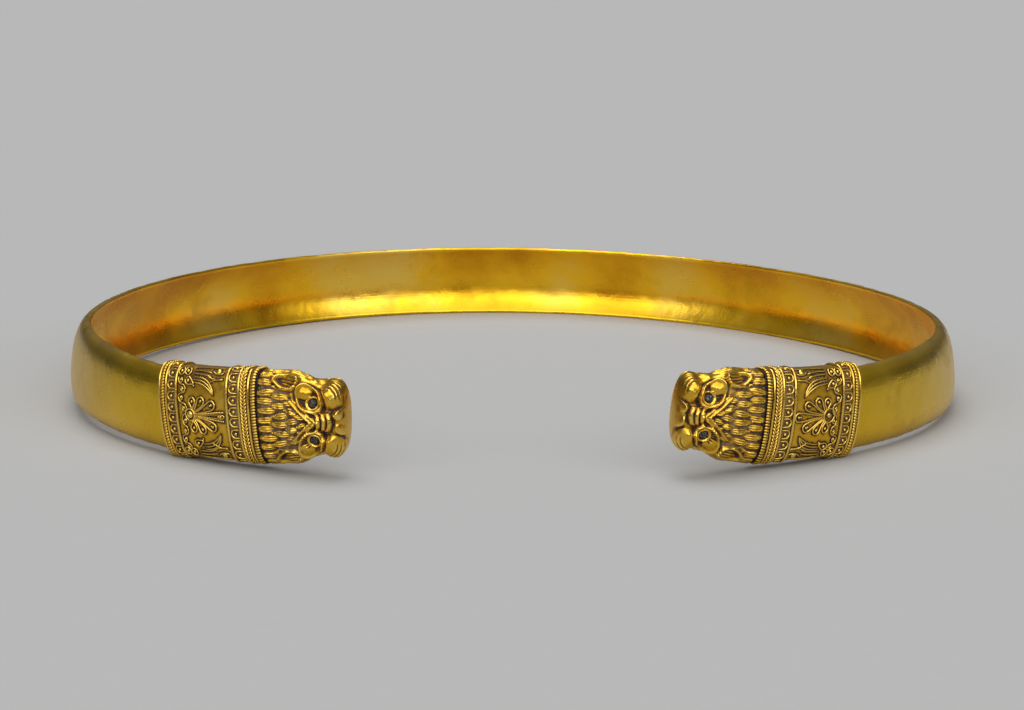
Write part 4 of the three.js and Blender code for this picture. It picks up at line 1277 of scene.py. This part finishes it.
def make_head(end, material):
    shares = head_shares()
    columns = column_shares()
    count = len(columns)
    heights, arcs = head_relief(end, shares, columns)
    heights = sink_sockets(end, shares, arcs, heights)
    soil, dust = head_dirt_and_shade(shares, arcs, heights)
    skin = np.stack([head_place(end, share, w, h) for share, w, h in zip(shares, arcs, heights)])

    neck = Section(
        SLEEVE_HALF - NECK_INSET, SLEEVE_FRONT - NECK_INSET, SLEEVE_BACK - NECK_INSET,
        SLEEVE_POWER, SLEEVE_BACK_POWER,
    )
    o, z = neck.at(columns * neck.half)
    neck_ends = (end.collar_length - NECK_INSERT, end.head_start + 0.1)
    neck_rows = [end.place(s, COLLAR_CENTRE_OFFSET + o, z) for s in neck_ends]
    points = np.concatenate([neck_rows, skin])
    # Painted shade: the neck in the gap before the collar is black.
    soil = np.concatenate([np.ones((2, count)), soil])
    dust = np.concatenate([np.zeros((2, count)), dust])

    probe = (len(points) // 2) * count + FACE_COLUMNS // 2
    inside = end.place(end.head_start + HEAD_LENGTH / 2, HEAD_CENTRE_OFFSET, 0.0)
    surface = Surface()
    surface.add(points, facing_out(points, grid_faces(len(points), count), inside, probe), soil, dust)
    for row in (0, len(points) - 1):
        ring = row * count + np.arange(count)
        surface.close(ring, points[row].mean(0), soil[row].mean(), turned=row == 0)
    surface.make(f"{end.name}_lion", material, f"{end.name}_lion_head", "worked_gold")


INLAY_RINGS = 12
INLAY_SIDES = 30
INLAY_DOME = 0.3
INLAY_SUNK = 0.18
INLAY_ROOT = 0.8


def make_eye(end, label, flip, material):
    """A domed, grainy inlay in its socket."""
    eye_arc = crown_arc(end.eye_share)
    eye_w = FACE_DROP + flip * EYE_SPREAD
    down = {"w": np.array([EYE_SPREAD / UNIT]), "mouth": 90.0, "locks": np.array([0.5])}
    base = carving(end, np.array([eye_arc / UNIT]), np.array([eye_w / UNIT]), down)[0] * UNIT
    turn = full_turn(INLAY_SIDES)
    rows = [(EYE_RADIUS, base - INLAY_ROOT + 0 * turn)]
    for k in range(INLAY_RINGS):
        part = 1 - k / INLAY_RINGS
        r = EYE_RADIUS * part * (1 + 0.05 * waver(turn * 2 + flip, 71) * part)
        bulge = INLAY_DOME * math.sqrt(1 - part * part * 0.96)
        grain = 0.045 * waver(turn * 3 + k * 1.7, 83 + k) * (part < 0.95)
        rows.append((r, base - INLAY_SUNK + bulge + grain))
    points = []
    for r, height in rows:
        shares = np.interp(eye_arc + r * np.cos(turn), CROWN_ARCS, CROWN_SHARES)
        w = eye_w + r * np.sin(turn)
        points.append([head_place(end, *place) for place in zip(shares, w, height)])
    points = np.array(points)
    inside = head_place(end, end.eye_share, eye_w, -1.5)
    surface = Surface()
    surface.add(points, facing_out(points, grid_faces(len(rows), INLAY_SIDES), inside), 0.0)
    last_ring = (len(rows) - 1) * INLAY_SIDES + np.arange(INLAY_SIDES)
    surface.close(last_ring, points[-1].mean(0))
    surface.make(f"{end.name}_{label}_eye_inlay", material, f"{end.name}_{label}_eye", "eye_inlay")


# Stage

def make_camera():
    camera = bpy.data.cameras.new("camera")
    camera.lens = CAMERA_LENS
    camera.sensor_width = SENSOR_WIDTH
    camera.shift_x = AIM_LEFT_OF_CENTRE / PHOTO_WIDTH
    camera.shift_y = -AIM_ABOVE_CENTRE / PHOTO_WIDTH
    camera.clip_start = 0.01
    camera.clip_end = 20
    holder = put("camera", camera)
    holder.location = CAMERA_PLACE
    look = (AIM - CAMERA_PLACE).to_track_quat("-Z", "Y")
    holder.rotation_euler = look.to_euler()
    holder.rotation_euler.rotate_axis("Z", math.radians(CAMERA_ROLL))
    bpy.context.scene.camera = holder


FLOOR_HALF = 4.0


def make_floor():
    mesh = bpy.data.meshes.new("floor")
    corners = [(x * FLOOR_HALF, y * FLOOR_HALF, 0) for x, y in ((-1, -1), (1, -1), (1, 1), (-1, 1))]
    mesh.from_pydata(corners, [], [(0, 1, 2, 3)])
    mesh.materials.append(floor_paint("floor_paint"))
    put("floor", mesh)


SUN_STRENGTH = 1.46
SUN_SPREAD = 46
SUN_TILT = (-12, -6, 0)
PANEL_WAY = (0.05, -1.0, 0.0)
PANEL_SIDES = (0.2, 0.62)

# Brightness by the height above the horizon
PANEL_BY_HEIGHT = [(0.0, 0.0), (0.2, 0.0), (0.32, 2.55), (0.45, 2.4), (0.62, 1.4), (0.9, 1.1), (1.0, 0.4)]
ROOM_LIGHT = [(0.0, 0.03), (0.12, 0.08), (0.35, 0.18), (0.7, 0.2), (1.0, 0.25)]


def make_light():
    """A broad soft light overhead, a tall bright panel behind the viewer, and a dim room."""
    sun = bpy.data.lights.new("overhead_light", "SUN")
    sun.energy = SUN_STRENGTH
    sun.angle = math.radians(SUN_SPREAD)
    put("overhead_light", sun).rotation_euler = [math.radians(tilt) for tilt in SUN_TILT]
    n = Nodes(bpy.data.worlds.new("room"))
    way = n.new("ShaderNodeTexCoord").outputs["Generated"]
    height = n.new("ShaderNodeSeparateXYZ", {"Vector": way}).outputs["Z"]
    level = n.vector("NORMALIZE", n.vector("MULTIPLY", way, (1.0, 1.0, 0.0))["Vector"])["Vector"]
    towards = n.vector("DOT_PRODUCT", level, PANEL_WAY)["Value"]
    sides = n.range(towards, *PANEL_SIDES, 0.0, 1.0, interpolation_type="SMOOTHSTEP")
    panel = n.math("MULTIPLY", n.grey_ramp(height, PANEL_BY_HEIGHT), sides)
    total = n.math("ADD", n.grey_ramp(height, ROOM_LIGHT), panel)
    bpy.context.scene.world = n.shade({"Color": total}, "Background")
    bpy.context.scene.view_settings.view_transform = "Standard"


make_camera()
band = band_gold("worn_band_gold")
worked = worked_gold("chased_gold")
make_hoop(band)
for end in (LEFT, RIGHT):
    plan = CollarPlan(end)
    make_collar(end, worked)
    make_beaded_wire(end, "rear", plan.rear_wire, worked)
    make_beaded_wire(end, "front", plan.front_wire, worked)
    make_plait(end, worked)
    make_head(end, worked)
    paste = eye_inlay(f"{end.name}_eye_paste", decayed=end is LEFT)
    make_eye(end, "upper", 1, paste)
    make_eye(end, "lower", -1, paste)
make_floor()
make_light()
